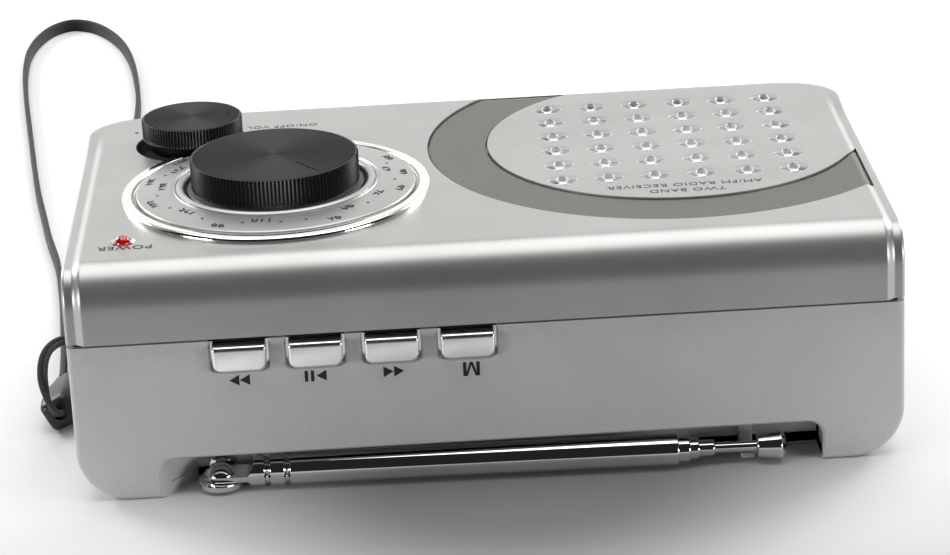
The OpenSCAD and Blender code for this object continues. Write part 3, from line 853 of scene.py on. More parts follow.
# Finishes of the nodes that show as they were designed.
NODE_FINISHES: dict[Finish, str] = {
    ZINC_STEEL: "tuning_shaft volume_shaft speaker_frame speaker_magnet usb_shell card_socket band_switch",
    CREAM_PLASTIC: "tuning_capacitor ferrite_holders usb_tongue",
    LAMINATE: "volume_control",
    SOCKET_BLACK: "button_switches tuner_chip amplifier_chip earphone_socket power_socket band_slider",
    BOARD_GREEN: "button_board main_board jack_board socket_board",
    BLUE_SLEEVE: "smoothing_capacitors",
    FERRITE: "ferrite_rod",
    COPPER_WIRE: "ferrite_coil",
    PAPER_CONE: "speaker_cone",
    CELL_WRAP: "battery_cells",
    BRIGHT_STEEL: "battery_springs battery_contacts board_screws strap_bar",
}


def dress_nodes() -> None:
    """Gives each node that stays in view its finish."""
    for finish, names in NODE_FINISHES.items():
        for name in names.split():
            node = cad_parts[name]
            node.data.materials.clear()
            node.data.materials.append(finish.material())


def make(
    shape: Shape,
    name: str,
    body: Body,
    finish: Finish,
    replaces: Sequence[str] = (),
    cutters: Sequence[Shape] = (),
    sharp: float = 35.0,
    weighted: bool = False,
) -> Piece:
    """Makes one piece of the radio and tells the frame about it.

    Args:
        shape: its shape.
        name: its name.
        body: the body that it rides on.
        finish: its finish.
        replaces: the nodes that it stands for.
        cutters: shapes to take out of it, one after the other.
        sharp: the angle above which its edges stay sharp.
        weighted: large flat faces keep their own shading beside small ones.
    Returns:
        The piece.
    """
    piece = write_mesh(name, shape, sharp)
    for cutter in cutters:
        carve(piece, cutter, sharp)
    if weighted:
        piece.modifiers.new("even_shading", "WEIGHTED_NORMAL").keep_sharp = True
    piece.data.materials.clear()
    piece.data.materials.append(finish.material())
    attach(piece, body.value)
    if replaces:
        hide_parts(*replaces)
    LOG.info("%s: %d faces on %s", name, len(piece.data.polygons), body.value)
    return piece


# ---- studio ----


@dataclass
class Studio:
    """The camera, a pale table, and soft lights: overhead, at each far corner and low on each side.

    Each lamp has a name, its middle, the point it faces, its width and depth, and its power in watts.
    The table's colour holds painted shade: it darkens towards the viewer between fade_from and fade_to, and
    the two fields after these give the middle and the half axes of a soft painted shadow before the case.
    """

    eye: tuple[float, float, float] = (-16.910, -579.715, 240.494)
    right: tuple[float, float, float] = (0.998006, -0.045011, -0.044242)
    ahead: tuple[float, float, float] = (0.026561, 0.935425, -0.352527)
    lens: float = 122.07
    table_half: float = 1500.0
    # Painted shade: the table darkens between these two places towards the viewer, standing in for the floor
    # in shade near the camera.
    fade_from: float = -210.0
    fade_to: float = -52.0
    # Painted shadow: a darker patch on the table before the case, where the case's shadow falls.
    painted_shadow_middle: tuple[float, float] = (5, -50)
    painted_shadow_half: tuple[float, float] = (75, 60)
    lamps: tuple = (
        ("overhead", (30, 60, 600), (30, 55, 0), (760, 640), 4.1),
        ("far left", (-560, 420, 330), (0, 0, 0), (260, 260), 2.6),
        ("far right", (560, 420, 330), (0, 0, 0), (260, 260), 2.6),
        ("left", (-700, -430, 90), (0, -40, 25), (300, 130), 2.2),
        ("right", (700, -430, 90), (0, -40, 25), (300, 130), 2.2),
    )

    def build(self) -> None:
        """Makes the camera, the table and the light."""
        self.camera()
        self.table()
        self.sky()
        for lamp in self.lamps:
            self.softbox(*lamp)

    def camera(self) -> None:
        """Puts the camera at the eye, looking ahead."""
        scene = bpy.context.scene
        data = bpy.data.cameras.new("camera")
        data.sensor_width = 36.0
        data.lens = self.lens
        data.clip_start = 0.01
        viewer = bpy.data.objects.new("camera", data)
        back = -Vector(self.ahead).normalized()
        side = Vector(self.right)
        side = (side - back * side.dot(back)).normalized()
        turn = Matrix([side, back.cross(side), back]).transposed()
        viewer.matrix_world = Matrix.Translation(Vector(self.eye) * MM) @ turn.to_4x4()
        scene.collection.objects.link(viewer)
        scene.camera = viewer
        scene.view_settings.view_transform = "Standard"

    def table(self) -> None:
        """A level table top with painted shade: darker towards the viewer, and a painted shadow in a soft
        patch before the case.
        """
        line = np.linspace(-self.table_half, self.table_half, 30)
        x, y = np.meshgrid(line, line)
        top = np.stack([x, y, 0 * x], -1)
        table = write_mesh("table", slab(top, top - [0, 0, 20]), 35)
        material = bpy.data.materials.new("white_table_painted_shade")
        material.use_nodes = True
        tree = material.node_tree
        shader = tree.nodes["Principled BSDF"]
        place = add(tree, "ShaderNodeTexCoord").outputs["Object"]
        depth = add(tree, "ShaderNodeSeparateXYZ", {"Vector": place}).outputs["Y"]
        # Painted shade: darker towards the viewer.
        painted_viewer_shade = remap(tree, depth, self.fade_from * MM, self.fade_to * MM)
        # Painted shadow: a soft darker patch before the case.
        scale = 1 / np.array(self.painted_shadow_half)
        shift = -scale * self.painted_shadow_middle
        sockets = {"Vector": place, "Location": (*shift, 0), "Scale": (*scale / MM, 1)}
        painted_shadow_place = add(tree, "ShaderNodeMapping", sockets).outputs["Vector"]
        patch = add(tree, "ShaderNodeTexGradient", {"Vector": painted_shadow_place}, gradient_type="SPHERICAL").outputs["Fac"]
        soft = remap(tree, patch, 0.0, 0.75, 1.0, 0.22, "SMOOTHSTEP")
        grey = ramp(tree, maths(tree, "MULTIPLY", painted_viewer_shade, soft), [(0.0, "#575757"), (1.0, "#eeeeed")])
        tree.links.new(grey, shader.inputs["Base Color"])
        shader.inputs["Roughness"].default_value = 0.9
        shader.inputs["Specular IOR Level"].default_value = 0.0
        table.data.materials.append(material)

    def sky(self) -> None:
        """Light from all round: a bright band low behind the radio, dim elsewhere."""
        world = bpy.data.worlds.new("studio")
        bpy.context.scene.world = world
        world.use_nodes = True
        tree = world.node_tree
        tree.nodes.clear()
        place = add(tree, "ShaderNodeTexCoord").outputs["Generated"]
        parts = add(tree, "ShaderNodeSeparateXYZ", {"Vector": place})
        behind = remap(tree, parts.outputs["Y"], 0.0, 0.7)
        low = remap(tree, parts.outputs["Z"], 0.85, 0.5)
        light = ramp(tree, maths(tree, "MULTIPLY", behind, low), [(0.0, "#232324"), (1.0, "#fdfdfc")])
        shader = add(tree, "ShaderNodeBackground", {"Color": light, "Strength": 1.15})
        output = add(tree, "ShaderNodeOutputWorld")
        tree.links.new(shader.outputs["Background"], output.inputs["Surface"])

    def softbox(
        self, name: str, place: Sequence[float], target: Sequence[float], size: Sequence[float], power: float
    ) -> None:
        """A rectangular lamp that faces a point.

        Args:
            name: its name.
            place: its middle.
            target: the point it faces.
            size: its width and depth.
            power: its power in watts.
        """
        data = bpy.data.lights.new(name, "AREA")
        data.shape = "RECTANGLE"
        data.size, data.size_y = size[0] * MM, size[1] * MM
        data.energy = power
        lamp = bpy.data.objects.new(name, data)
        lamp.location = Vector(place) * MM
        lamp.rotation_euler = (Vector(target) - Vector(place)).to_track_quat("-Z", "Y").to_euler()
        bpy.context.scene.collection.objects.link(lamp)


# ---- strap ----


@dataclass
class WristStrap:
    """The plaited cord through the case's bar, the keeper, and the band that lies in a loop on the table.

    The two routes are those of the design, point for point.
    """

    cord_route: tuple = (
        (-73.9, -30, 25.4), (-75.6, -30, 25.6), (-77.4, -29.6, 25.4), (-79, -28.8, 24.4),
        (-80.3, -27.6, 22.8), (-81.3, -26.2, 20.6), (-81.9, -24.7, 18), (-82.2, -23.2, 15.4),
        (-82.2, -21.6, 12.8), (-82.1, -20, 10.4), (-81.8, -18.4, 8.2), (-81.4, -16.8, 6.4),
        (-81, -15, 5), (-80.8, -13, 4.3),
    )
    band_route: tuple = (
        (-81.6, 4, 3.6), (-82.1, 12, 2.9), (-82.8, 22, 2.1), (-83.8, 34, 1.7),
        (-85, 48, 1.6), (-86.5, 62, 1.6), (-88.2, 76, 1.6), (-91.2, 92, 1.6),
        (-93.6, 107, 1.6), (-96.4, 125, 1.6), (-99.1, 146, 1.6), (-102, 170, 1.6),
        (-104.9, 194, 1.6), (-106.8, 212, 1.6), (-107.8, 226, 1.6), (-108, 238, 1.6),
        (-106.8, 250, 1.6), (-103.8, 260, 1.6), (-99, 265.2, 1.6), (-93.4, 262.6, 1.6),
        (-88, 254, 1.6), (-83.6, 241.6, 1.6), (-80.4, 226, 1.6), (-78.2, 208, 1.6),
        (-76.8, 190, 1.6), (-76.4, 172, 1.6), (-76.6, 152, 1.6), (-77, 130, 1.6),
        (-77.6, 108, 1.6), (-78.2, 86, 1.6), (-78.6, 64, 1.6), (-79, 44, 1.6),
        (-79.4, 30, 1.8), (-79.8, 18, 2.5), (-80, 10, 3.1), (-80.1, 4, 3.6),
    )
    cord_width: float = 2.5
    band_width: float = 3.2
    band_thickness: float = 1.2
    lay_mm: float = 30.0
    keeper_turn: float = 27.0

    def build(self) -> None:
        """Makes the keeper, the cord and the band."""
        keeper = self.keeper()
        self.cord()
        self.band()

    def keeper(self) -> Piece:
        """A moulded slide: a rounded square, turned on its edge, that tapers at both ends."""
        low, high = node_box("strap_keeper")
        middle = node_middle("strap_keeper")
        half = (high[0] - low[0]) / 2
        t = np.array([0, 0.3, 1.2, 4.0, 9.0, 14.0, 16.2, 17.0]) / 17.0
        wide = np.array([0.7, 0.86, 0.97, 1.0, 0.9, 0.62, 0.52, 0.44])
        side = half * 0.80
        square = round_box((-side, -side), (side, side), side * 0.42, 8)
        c, s = compass(self.keeper_turn)
        square = square @ np.array([[c, s], [-s, c]])
        rings = [square * w + [middle[0], middle[2]] for w in wide]
        shape = stack(rings, low[1] + t * (high[1] - low[1]), Axis.Y)
        mouth = rod((middle[0], middle[2] + 0.3), 1.5, low[1] - 1, low[1] + 0.9, Axis.Y, 24)
        return make(shape, "strap_slide", Body.CASE, KEEPER_BLACK, ["strap_keeper"], [mouth], 50)

    def cord(self) -> None:
        """Two plaited strands laid round each other: each strand's middle circles the route once a lay.
        """
        path = smooth_path(self.cord_route, 10)
        run = np.concatenate([[0], np.cumsum(np.linalg.norm(np.diff(path, axis=0), axis=1))])
        turn = 2 * np.pi * run / self.lay_mm
        strand = self.cord_width * 0.21
        circle = arc((0, 0), strand, 0, 360, 17)[:-1]
        parts = []
        for phase in (0, np.pi):
            offset = np.stack([np.cos(turn + phase), np.sin(turn + phase)], -1) * strand * 0.92
            parts.append(sweep(path, circle[None] + offset[:, None]))
        piece = make(Shape.joined(parts), "strap_plaited_cord", Body.CASE, CORD_NYLON, ["strap_cord"])

    def band(self) -> None:
        """A flat woven band that stands on its edge: a rounded rectangle carried along its route."""
        path = smooth_path(self.band_route, 8)
        half = (self.band_thickness / 2, self.band_width / 2)
        section = round_box((-half[0], -half[1]), half, 0.45, 4)
        shape = sweep(path, section)
        shape.points = np.clip(shape.points, *node_box("strap_band"))
        piece = make(shape, "strap_woven_band", Body.CASE, BAND_NYLON, ["strap_band"], sharp=60)


# ---- case ----


@dataclass
class FrontShell:
    """The silver front cover, with its raised panel, its soft edge above the keys and its openings.

    The skin is the section across the case, moved out along its own normal by the panel's step and back by
    the rounding of the side edges. near_depth and near_height are the half axes of the edge above the keys.
    """

    wall: float = 2.2
    edge: float = 0.7
    near_depth: float = 5.4
    near_height: float = 6.6
    far_edge: float = 4.8
    foot_radius: float = 14.0
    step: float = 1.0
    step_head: float = 71.5
    step_foot: float = 73.2
    fade_from: float = 20.0
    fade_to: float = 35.0
    gap: float = 0.75
    dish_radius: float = 3.2
    well_radius: float = 11.3
    trim_inner: float = 35.8
    trim_outer: float = 47.1
    trim_middle: tuple[float, float] = (39.1, 11.0)
    trim_drop: float = 0.3

    def __post_init__(self) -> None:
        """Reads the case's size from the frame."""
        high = node_box("front_cover")[1]
        self.half_w = float(high[0])
        self.half_h = float(high[1])
        self.top = float(high[2]) - self.step
        self.base = float(node_box("rear_cover")[1][2]) + self.gap
        self.lamp = node_middle("power_lamp")[:2]
        self.well = node_middle("volume_knob")[:2]

    def raised(self, x: np.ndarray, y: np.ndarray) -> np.ndarray:
        """Height of the panel over the side strips: a smooth ramp that dies away towards the far corners."""
        strip = ease((np.abs(x) - self.step_head) / (self.step_foot - self.step_head))
        return self.step * (1 - strip * (1 - ease((y - self.fade_from) / (self.fade_to - self.fade_from))))

    def fallen(self, x: np.ndarray, y: np.ndarray, inset: float) -> np.ndarray:
        """How far the rounded rim lies under the flat face.

        The rounding's radius goes from that of the side edges to that of the far edge round the corner.
        Args:
            x: places along the case.
            y: places across it.
            inset: how far the whole form is moved inwards.
        Returns:
            The drop at each place.
        """
        radius = self.foot_radius - inset
        u = np.abs(x) - (self.half_w - self.foot_radius)
        v = y - (self.half_h - self.foot_radius)
        corner = (u > 0) & (v > 0)
        side = self.half_w - inset - np.abs(x)
        far = self.half_h - inset - y
        distance = np.where(corner, radius - np.hypot(u, v), np.minimum(side, far))
        share = ease(np.degrees(np.arctan2(np.maximum(v, 0), np.maximum(u, 1e-6))) / 90)
        share = np.where(u <= 0, 1.0, share)
        reach = np.maximum(self.edge + (self.far_edge - self.edge) * share - inset, 0.15)
        return bulge(np.maximum(distance, 0), reach)

    def height(self, x: np.ndarray, y: np.ndarray) -> np.ndarray:
        """Height of the front face away from the edge above the keys."""
        return self.top + self.raised(x, y) - self.fallen(x, y, 0.0)

    def skin(self, inset: float) -> np.ndarray:
        """The cover's surface, moved inwards.

        Rows run from the seam on the key side over the face to the seam on the foot side.
        Args:
            inset: how far it is moved inwards.
        Returns:
            Points by place along the case and place along the section.
        """
        corner = self.half_w - self.foot_radius
        t = np.radians(np.linspace(0, 90, 16))
        parts = [
            np.linspace(0, corner, 18), corner + self.foot_radius * np.sin(t),
            np.linspace(self.step_head - 0.2, self.step_foot + 0.2, 9),
            self.half_w - self.edge * (1 - np.sin(t)),
        ]
        plus = np.unique(np.round(np.concatenate(parts), 3))
        x = np.concatenate([-plus[:0:-1], plus])[:, None] * (self.half_w - inset) / self.half_w
        a, b = self.near_depth - inset, self.near_height - inset
        near, top = -(self.half_h - inset), self.top - inset
        beyond = np.clip(np.abs(x) - corner, 0, self.foot_radius - inset)
        far = self.half_h - self.foot_radius + np.sqrt((self.foot_radius - inset) ** 2 - beyond**2)
        reach = max(self.far_edge - inset, 0.15)

        wall_z = np.linspace(self.base, top - b, 8)[:-1]
        phi = np.radians(np.linspace(0, 90, 19))
        y_near = np.concatenate([near + 0 * wall_z, near + a * (1 - np.cos(phi))])
        z_near = np.concatenate([wall_z, top - b + b * np.sin(phi)])
        n_y = np.concatenate([-1 + 0 * wall_z, -np.cos(phi) / a])
        n_z = np.concatenate([0 * wall_z, np.sin(phi) / b])
        size = np.hypot(n_y, n_z)
        side = self.half_w - inset - np.abs(x)
        out = self.raised(x, np.full_like(x, near)) - bulge(side, max(self.edge - inset, 0.15))
        near_part = np.stack([x + 0 * y_near, y_near + out * n_y / size, z_near + out * n_z / size], -1)

        s = np.linspace(0, 1, 40)[1:-1]
        y_face = near + a + (far - reach - near - a) * s
        y_far = far - reach * (1 - np.sin(np.radians(np.linspace(0, 90, 12))))
        y_top = np.concatenate([y_face, y_far], 1)
        z_top = top + self.raised(x, y_top) - self.fallen(x + 0 * y_top, y_top, inset)
        top_part = np.stack([x + 0 * y_top, y_top, z_top], -1)

        drop = np.linspace(0, 1, 5)[1:]
        z_wall = z_top[:, -1:] * (1 - drop) + self.base * drop
        far_part = np.stack([x + 0 * z_wall, far + 0 * z_wall, z_wall], -1)
        return np.concatenate([near_part, top_part, far_part], 1)

    def trim_grid(self, grow: float, lift: float) -> np.ndarray:
        """The flat ring round the near side of the sound holes, laid on the face.

        It goes from the far edge round the near side to the foot of the right-hand step. Where it would pass
        the edge, its outer radius is that of the edge.
        Args:
            grow: how much wider it is on each side.
            lift: its height over the face.
        Returns:
            Points by angle and radius.
        """
        cx, cy = self.trim_middle
        right, far = self.step_foot - 0.1 + grow, self.half_h - 3.0 + grow
        inner, outer = self.trim_inner - grow, self.trim_outer + grow
        start = 180 - math.degrees(math.asin((far - cy) / inner))
        end = 360 - math.degrees(math.acos((right - cx) / inner))
        a = np.radians(np.linspace(start, end, 220))[:, None]
        limit = np.full_like(a, outer)
        for part, room in ((np.sin(a), far - cy), (np.cos(a), right - cx)):
            limit = np.where(part > 0.05, np.minimum(limit, room / np.maximum(part, 0.05)), limit)
        share = np.concatenate([[0, 0.02], np.linspace(0.05, 0.95, 26), [0.98, 1]])
        r = inner + (np.maximum(limit, inner + 0.02) - inner) * share
        x, y = cx + r * np.cos(a), cy + r * np.sin(a)
        border = np.minimum(share, 1 - share) * (outer - inner) / 0.25
        drop = 0.15 * (1 - np.sqrt(1 - (1 - np.clip(border, 0, 1)) ** 2)) if grow <= 0 else 0.0
        return np.stack([x, y, self.height(x, y) + lift - drop], -1)

    def build(self, grille: "Grille") -> None:
        """Makes the cover, its trim, the volume knob's well and the lip behind the seam.

        Args:
            grille: the sound holes' dishes, which need round holes.
        """
        top = self.top
        holes = [rod(self.well, self.well_radius, top - 6, top + 6, Axis.Z, 96)]
        countersink = np.array([[0, -5], [1.75, -5], [1.75, 0.55], [2.35, 1.02], [2.35, 3], [0, 3]])
        holes.append(lathe(countersink + [0, top], 48).moved(*self.lamp))
        holes += [rod(place, self.dish_radius, top - 4, top + 4, Axis.Z, 40) for place in grille.places()]
        groove = slab(self.trim_grid(0.16, 2.0), self.trim_grid(0.16, -1.3))
        cover = hollow(self.skin(0.0), self.skin(self.wall))
        cutters = [Shape.joined(holes), groove]
        make(cover, "front_shell", Body.CASE, SILVER_LACQUER, ["front_cover"], cutters, 32, True)
        trim = slab(self.trim_grid(-0.14, -self.trim_drop), self.trim_grid(-0.14, -1.0))
        make(trim, "speaker_trim", Body.CASE, TRIM_LACQUER, ["speaker_trim_ring"], sharp=50)
        cup = np.array([[0, -3.6], [11.26, -3.6], [11.26, -0.3], [11.1, -0.3], [11.1, -2.9], [0, -2.9]])
        make(lathe(cup + [0, top + self.step]).moved(*self.well), "volume_well", Body.CASE, WELL_SHADE_BLACK)
        self.lip()

    def lip(self) -> None:
        """The tongue that shows in the seam, near-black for painted shade: the case's plan, set in and
        carried up.
        """
        low, high = (-self.half_w, -self.half_h), (self.half_w, self.half_h)
        rings = []
        for inset in (1.1, 1.9):
            r = self.foot_radius - inset
            rings.append(round_box(np.add(low, inset), np.subtract(high, inset), [0.4, r, r, 0.4], 12))
        z = [self.base - 1.2, self.base + 1.6]
        loops = [np.insert(rings[i], 2, z[j], axis=1) for i, j in ((0, 0), (0, 1), (1, 1), (1, 0))]
        make(loft(np.stack(loops), False, True), "seam_lip", Body.CASE, WELL_SHADE_BLACK)


@dataclass
class Grille:
    """The sound holes: shallow round dishes, each with four pointed holes in a cross.

    lip is the section from a hole's rim outwards: share of the way to the border, and drop under the bowl.
    """

    pitch: float = 8.7
    count: int = 6
    radius: float = 3.24
    depth: float = 0.6
    petal_at: float = 1.72
    petal_long: float = 1.0
    petal_wide: float = 0.84
    thickness: float = 0.95
    lip: tuple = ((0, 0.14), (0.06, -0.02), (0.16, -0.05), (0.4, -0.01), (0.7, 0), (1, 0))
    bed_half: float = 22.2

    def places(self) -> list[tuple[float, float]]:
        """Middles of the dishes."""
        middle = node_middle("speaker_frame")
        steps = (np.arange(self.count) - (self.count - 1) / 2) * self.pitch
        x, y = np.meshgrid(middle[0] + steps, middle[1] + steps)
        return list(zip(x.ravel().tolist(), y.ravel().tolist()))

    def surface(self, x: np.ndarray, y: np.ndarray) -> np.ndarray:
        """The dish: a bowl whose depth falls with the square of the radius, with a soft rim."""
        r = np.hypot(x, y) / self.radius
        return -self.depth * ease(1.12 * (1 - r)) - 0.01

    def quadrant(self) -> Shape:
        """One quarter of a dish, round the hole that points along +X.

        Rows lead from the hole's foot up its wall, out over the bowl to the quarter's border and back
        underneath. Each row blends the hole's outline into the border along rays from the hole's middle.
        Returns:
            The quarter, open where it meets its neighbours.
        """
        reach = self.radius * math.sqrt(0.5)
        corner = math.degrees(math.atan2(reach, reach - self.petal_at))
        half = np.concatenate([np.linspace(0, corner, 7), np.linspace(corner, 180, 11)[1:]])
        angle = np.radians(np.concatenate([half, 360 - half[-2:0:-1]]))
        c, s = np.cos(angle), np.sin(angle)
        hole = np.stack([self.petal_at + self.petal_long * c, self.petal_wide * s * (1 - 0.42 * c)], -1)
        inside = self.petal_at * c
        to_arc = -inside + np.sqrt(np.maximum(inside**2 + self.radius**2 - self.petal_at**2, 0))
        to_line = self.petal_at / np.maximum(np.abs(s) - c, 1e-6)
        on_arc = np.abs(np.degrees(np.arctan2(s, c))) <= corner + 1e-6
        reach = np.where(on_arc, to_arc, to_line)
        border = np.stack([self.petal_at + reach * c, reach * s], -1)
        rows = []
        for share, drop in ((0, self.thickness), *self.lip):
            flat = hole + (border - hole) * share
            rows.append(np.insert(flat, 2, self.surface(flat[:, 0], flat[:, 1]) - drop, axis=1))
        rows.append(np.insert(border, 2, -self.thickness, axis=1))
        rings = np.stack(rows)
        quads = grid_quads(len(rings), len(angle), True, True)
        wall = (len(rings) - 2) * len(angle)
        number = np.arange(len(angle))
        inner = ~(on_arc & np.roll(on_arc, -1))
        keep = np.ones(len(quads), bool)
        keep[wall + number[inner]] = False
        return Shape(rings.reshape(-1, 3), quads[keep])

    def build(self, top: float) -> None:
        """Makes all the dishes as one piece.

        Args:
            top: height of the front face.
        """
        quarter = self.quadrant()
        dish = Shape.joined([quarter.mapped(turned(90 * k), (0, 0, 0)) for k in range(4)])
        shape = Shape.joined([dish.moved(x, y, top) for x, y in self.places()])
        piece = make(shape, "sound_hole_dishes", Body.CASE, SILVER_LACQUER, sharp=55)
        # The hole walls deep in the dishes get a second, near-white material: painted light.
        piece.data.materials.append(HOLE_PAINTED_LIGHT.material())
        middles = np.zeros(len(piece.data.polygons) * 3)
        piece.data.polygons.foreach_get("center", middles)
        deep = middles.reshape(-1, 3)[:, 2] < (top - self.thickness * 0.4) * MM
        piece.data.polygons.foreach_set("material_index", deep.astype(np.int32))
        # The bed under the holes is near-white: painted light seen through them.
        half = self.bed_half
        bed = round_box((-half, -half), (half, half), 3.0) + np.mean(self.places(), axis=0)
        floor = prism(bed, top - self.thickness - 0.5, top - self.thickness - 0.05, Axis.Z)
        make(floor, "sound_hole_bed", Body.CASE, HOLE_PAINTED_LIGHT)


@dataclass
class RearShell:
    """The grey rear cover, hollow, with the aerial's channel, the keys' windows and the sockets' openings.

    The skin is the section seen from the key side, carried along Y and drawn in at both ends.
    """

    wall: float = 2.2
    back_radius: float = 9.5
    foot_radius: float = 14.0
    edge: float = 1.0
    channel_half: float = 60.0
    channel_top: float = 7.5
    channel_back: float = -37.3
    window_gap: float = 0.5
    socket_height: float = 14.0
    socket_radius: float = 3.1
    screw_radius: float = 2.6
    plate: float = 1.5
    bay_near: float = 11.0
    bay_far: float = 43.4
    clip_from: float = 45.4
    clip_to: float = 48.0
    pocket_half: float = 4.0

    def __post_init__(self) -> None:
        """Reads the case's size from the frame."""
        high = node_box("rear_cover")[1]
        self.half_w, self.half_h, self.top = float(high[0]), float(high[1]), float(high[2])

    def skin(self, inset: float) -> np.ndarray:
        """The cover's surface, moved inwards.

        Args:
            inset: how far it is moved inwards.
        Returns:
            Points by place along Y and place along the section, from the left seam round to the right one.
        """
        t = np.radians(np.linspace(0, 90, 14))
        corner_y, corner_w = self.half_h - self.foot_radius, self.half_w - self.foot_radius
        r = self.foot_radius - inset
        near = -(self.half_h - inset)
        straight = np.linspace(near + self.edge, corner_y, 18)[1:-1]
        y = np.concatenate([near + self.edge * (1 - np.cos(t)), straight, corner_y + r * np.sin(t)])
        w = np.concatenate([np.full(len(y) - len(t), self.half_w - inset), corner_w + r * np.cos(t)])
        y, w = y[:, None], w[:, None]
        b = self.back_radius - inset
        wall_z = np.linspace(self.top, inset + b, 7)[:-1]
        phi = np.radians(np.linspace(0, 90, 15))
        flat = np.linspace(-1, 1, 16)[1:-1]
        one, none = np.ones_like, np.zeros_like
        shift = np.concatenate([one(wall_z), np.cos(phi), none(flat), np.cos(phi[::-1]), one(wall_z)])
        side = np.concatenate([-one(wall_z), -one(phi), flat, one(phi), one(wall_z)])
        turn_z = inset + b * (1 - np.sin(phi))
        z = np.concatenate([wall_z, turn_z, inset + none(flat), turn_z[::-1], wall_z[::-1]])
        x = side * (w - b) + np.sign(side) * np.where(np.abs(side) == 1, b, 0) * shift
        n_x, n_z = np.sign(side) * shift, -np.sqrt(np.maximum(1 - shift**2, 0))
        edge = max(self.edge - inset, 0.15)
        back = bulge(y - near, edge) + bulge(self.half_h - inset - y, edge * 1.2) * np.abs(n_z)
        return np.stack([x - back * n_x, y + 0 * x, z - back * n_z + 0 * x], -1)

    def mouth(
        self, low: Sequence[float], high: Sequence[float], radius: Sequence[float], depth: float
    ) -> Shape:
        """A cutter for an opening in the key side whose rim is softened.

        Args:
            low: the opening's lower left corner in X and Z.
            high: its upper right corner.
            radius: its four corner radii.
            depth: how far it goes in.
        Returns:
            The closed cutter.
        """
        face = -self.half_h
        rings = []
        for grow in (0.9, 0.28, 0.1, 0.0, 0.0):
            rings.append(round_box(np.subtract(low, grow), np.add(high, grow), [r + grow for r in radius]))
        return stack(rings, [face - 2, face, face + 0.15, face + 0.35, face + depth], Axis.Y)

    def channel(self) -> Shape:
        """The cutter for the aerial's channel, whose left end wall slants inwards."""
        face = -self.half_h
        half, top = self.channel_half, self.channel_top
        rings = []
        for grow, slant in ((0.9, 0), (0.5, 0), (0.2, 0), (0.0, 0.4), (0.0, 6.2)):
            corners = (-half - grow + slant, -6.0), (half + grow, top + grow)
            rings.append(round_box(*corners, [0.5, 2.6, 2.6, 0.5]))
        return stack(rings, [face - 2, face, face + 0.25, face + 0.6, self.channel_back], Axis.Y)

    def side_hole(self, node: str, under: Sequence[float], over: Sequence[float], radius: float) -> Shape:
        """A cutter through the right end wall round a node of the frame.

        Args:
            node: the node that the opening shows.
            under: how far it goes past the node's lowest corner in Y and Z.
            over: how far it goes past the highest one.
            radius: corner radius.
        Returns:
            The closed cutter.
        """
        low, high = node_box(node)
        plan = round_box(low[1:] - under, high[1:] + over, radius)
        return prism(plan, self.half_w - 4, self.half_w + 1, Axis.X)

    def build(self, keys: "Keys") -> None:
        """Makes the cover and the walls of its pockets.

        Args:
            keys: the keys, which need windows.
        """
        screws = self.screw_places()
        bar = node_middle("strap_bar")
        cutters = [self.channel(), *self.windows(keys), *self.end_openings(bar)]
        low, high = node_box("battery_door")
        recess = round_box((low[0] - 0.2, low[1] - 0.2), (high[0] + 0.2, high[1] + 2), [0.3, 0.3, 1.2, 1.2])
        cutters.append(prism(recess, -1, high[2] + 0.2, Axis.Z))
        cutters += [rod(place, 2.9, -1, 5, Axis.Z) for place in screws]
        cover = hollow(self.skin(0.0), self.skin(self.wall))
        make(cover, "rear_shell", Body.CASE, GREY_LACQUER, ["rear_cover"], [Shape.joined(cutters)], 32, True)
        self.pockets(screws, bar)

    def windows(self, keys: "Keys") -> list[Shape]:
        """Cutters for the keys' windows, open towards the seam."""
        gap = self.window_gap
        made = []
        for low, high in keys.boxes():
            corners = (low[0] - gap, low[2] - gap), (high[0] + gap, self.top + 3)
            made.append(self.mouth(*corners, [1.2, 0.2, 0.2, 1.2], 5.0))
        return made

    def end_openings(self, bar: np.ndarray) -> list[Shape]:
        """Cutters for the sockets, the card slot, the band switch and the strap's pocket.

        Args:
            bar: middle of the strap's bar.
        Returns:
            One cutter for each.
        """
        face = self.half_w
        made = []
        for node in ("earphone_socket", "power_socket"):
            place = (node_middle(node)[1], self.socket_height)
            made.append(rod(place, self.socket_radius, -face - 1, -face + 4, Axis.X))
        made.append(self.side_hole("usb_shell", (0.3, 0.3), (0.3, 0.3), 0.6))
        made.append(self.side_hole("card_socket", (-0.6, -0.1), (-0.6, -0.1), 0.4))
        made.append(self.side_hole("band_slider", (0.2, 0.3), (3.8, 0.3), 0.6))
        low, high = node_box("strap_bar")
        pocket = round_box((bar[1] - self.pocket_half, low[2]), (bar[1] + self.pocket_half, high[2]), 1.0)
        made.append(prism(pocket, -face - 1, -face + 4.2, Axis.X))
        return made

    def screw_places(self) -> list[tuple[float, float]]:
        """Middles of the four case screws, from the corners of their node's box."""
        low, high = node_box("case_screws")
        r = self.screw_radius
        near, far = low[1] + r, high[1] - r
        return [(low[0] + r, near), (high[0] - r, near), (low[0] + r + 3.5, far), (high[0] - r - 3.5, far)]

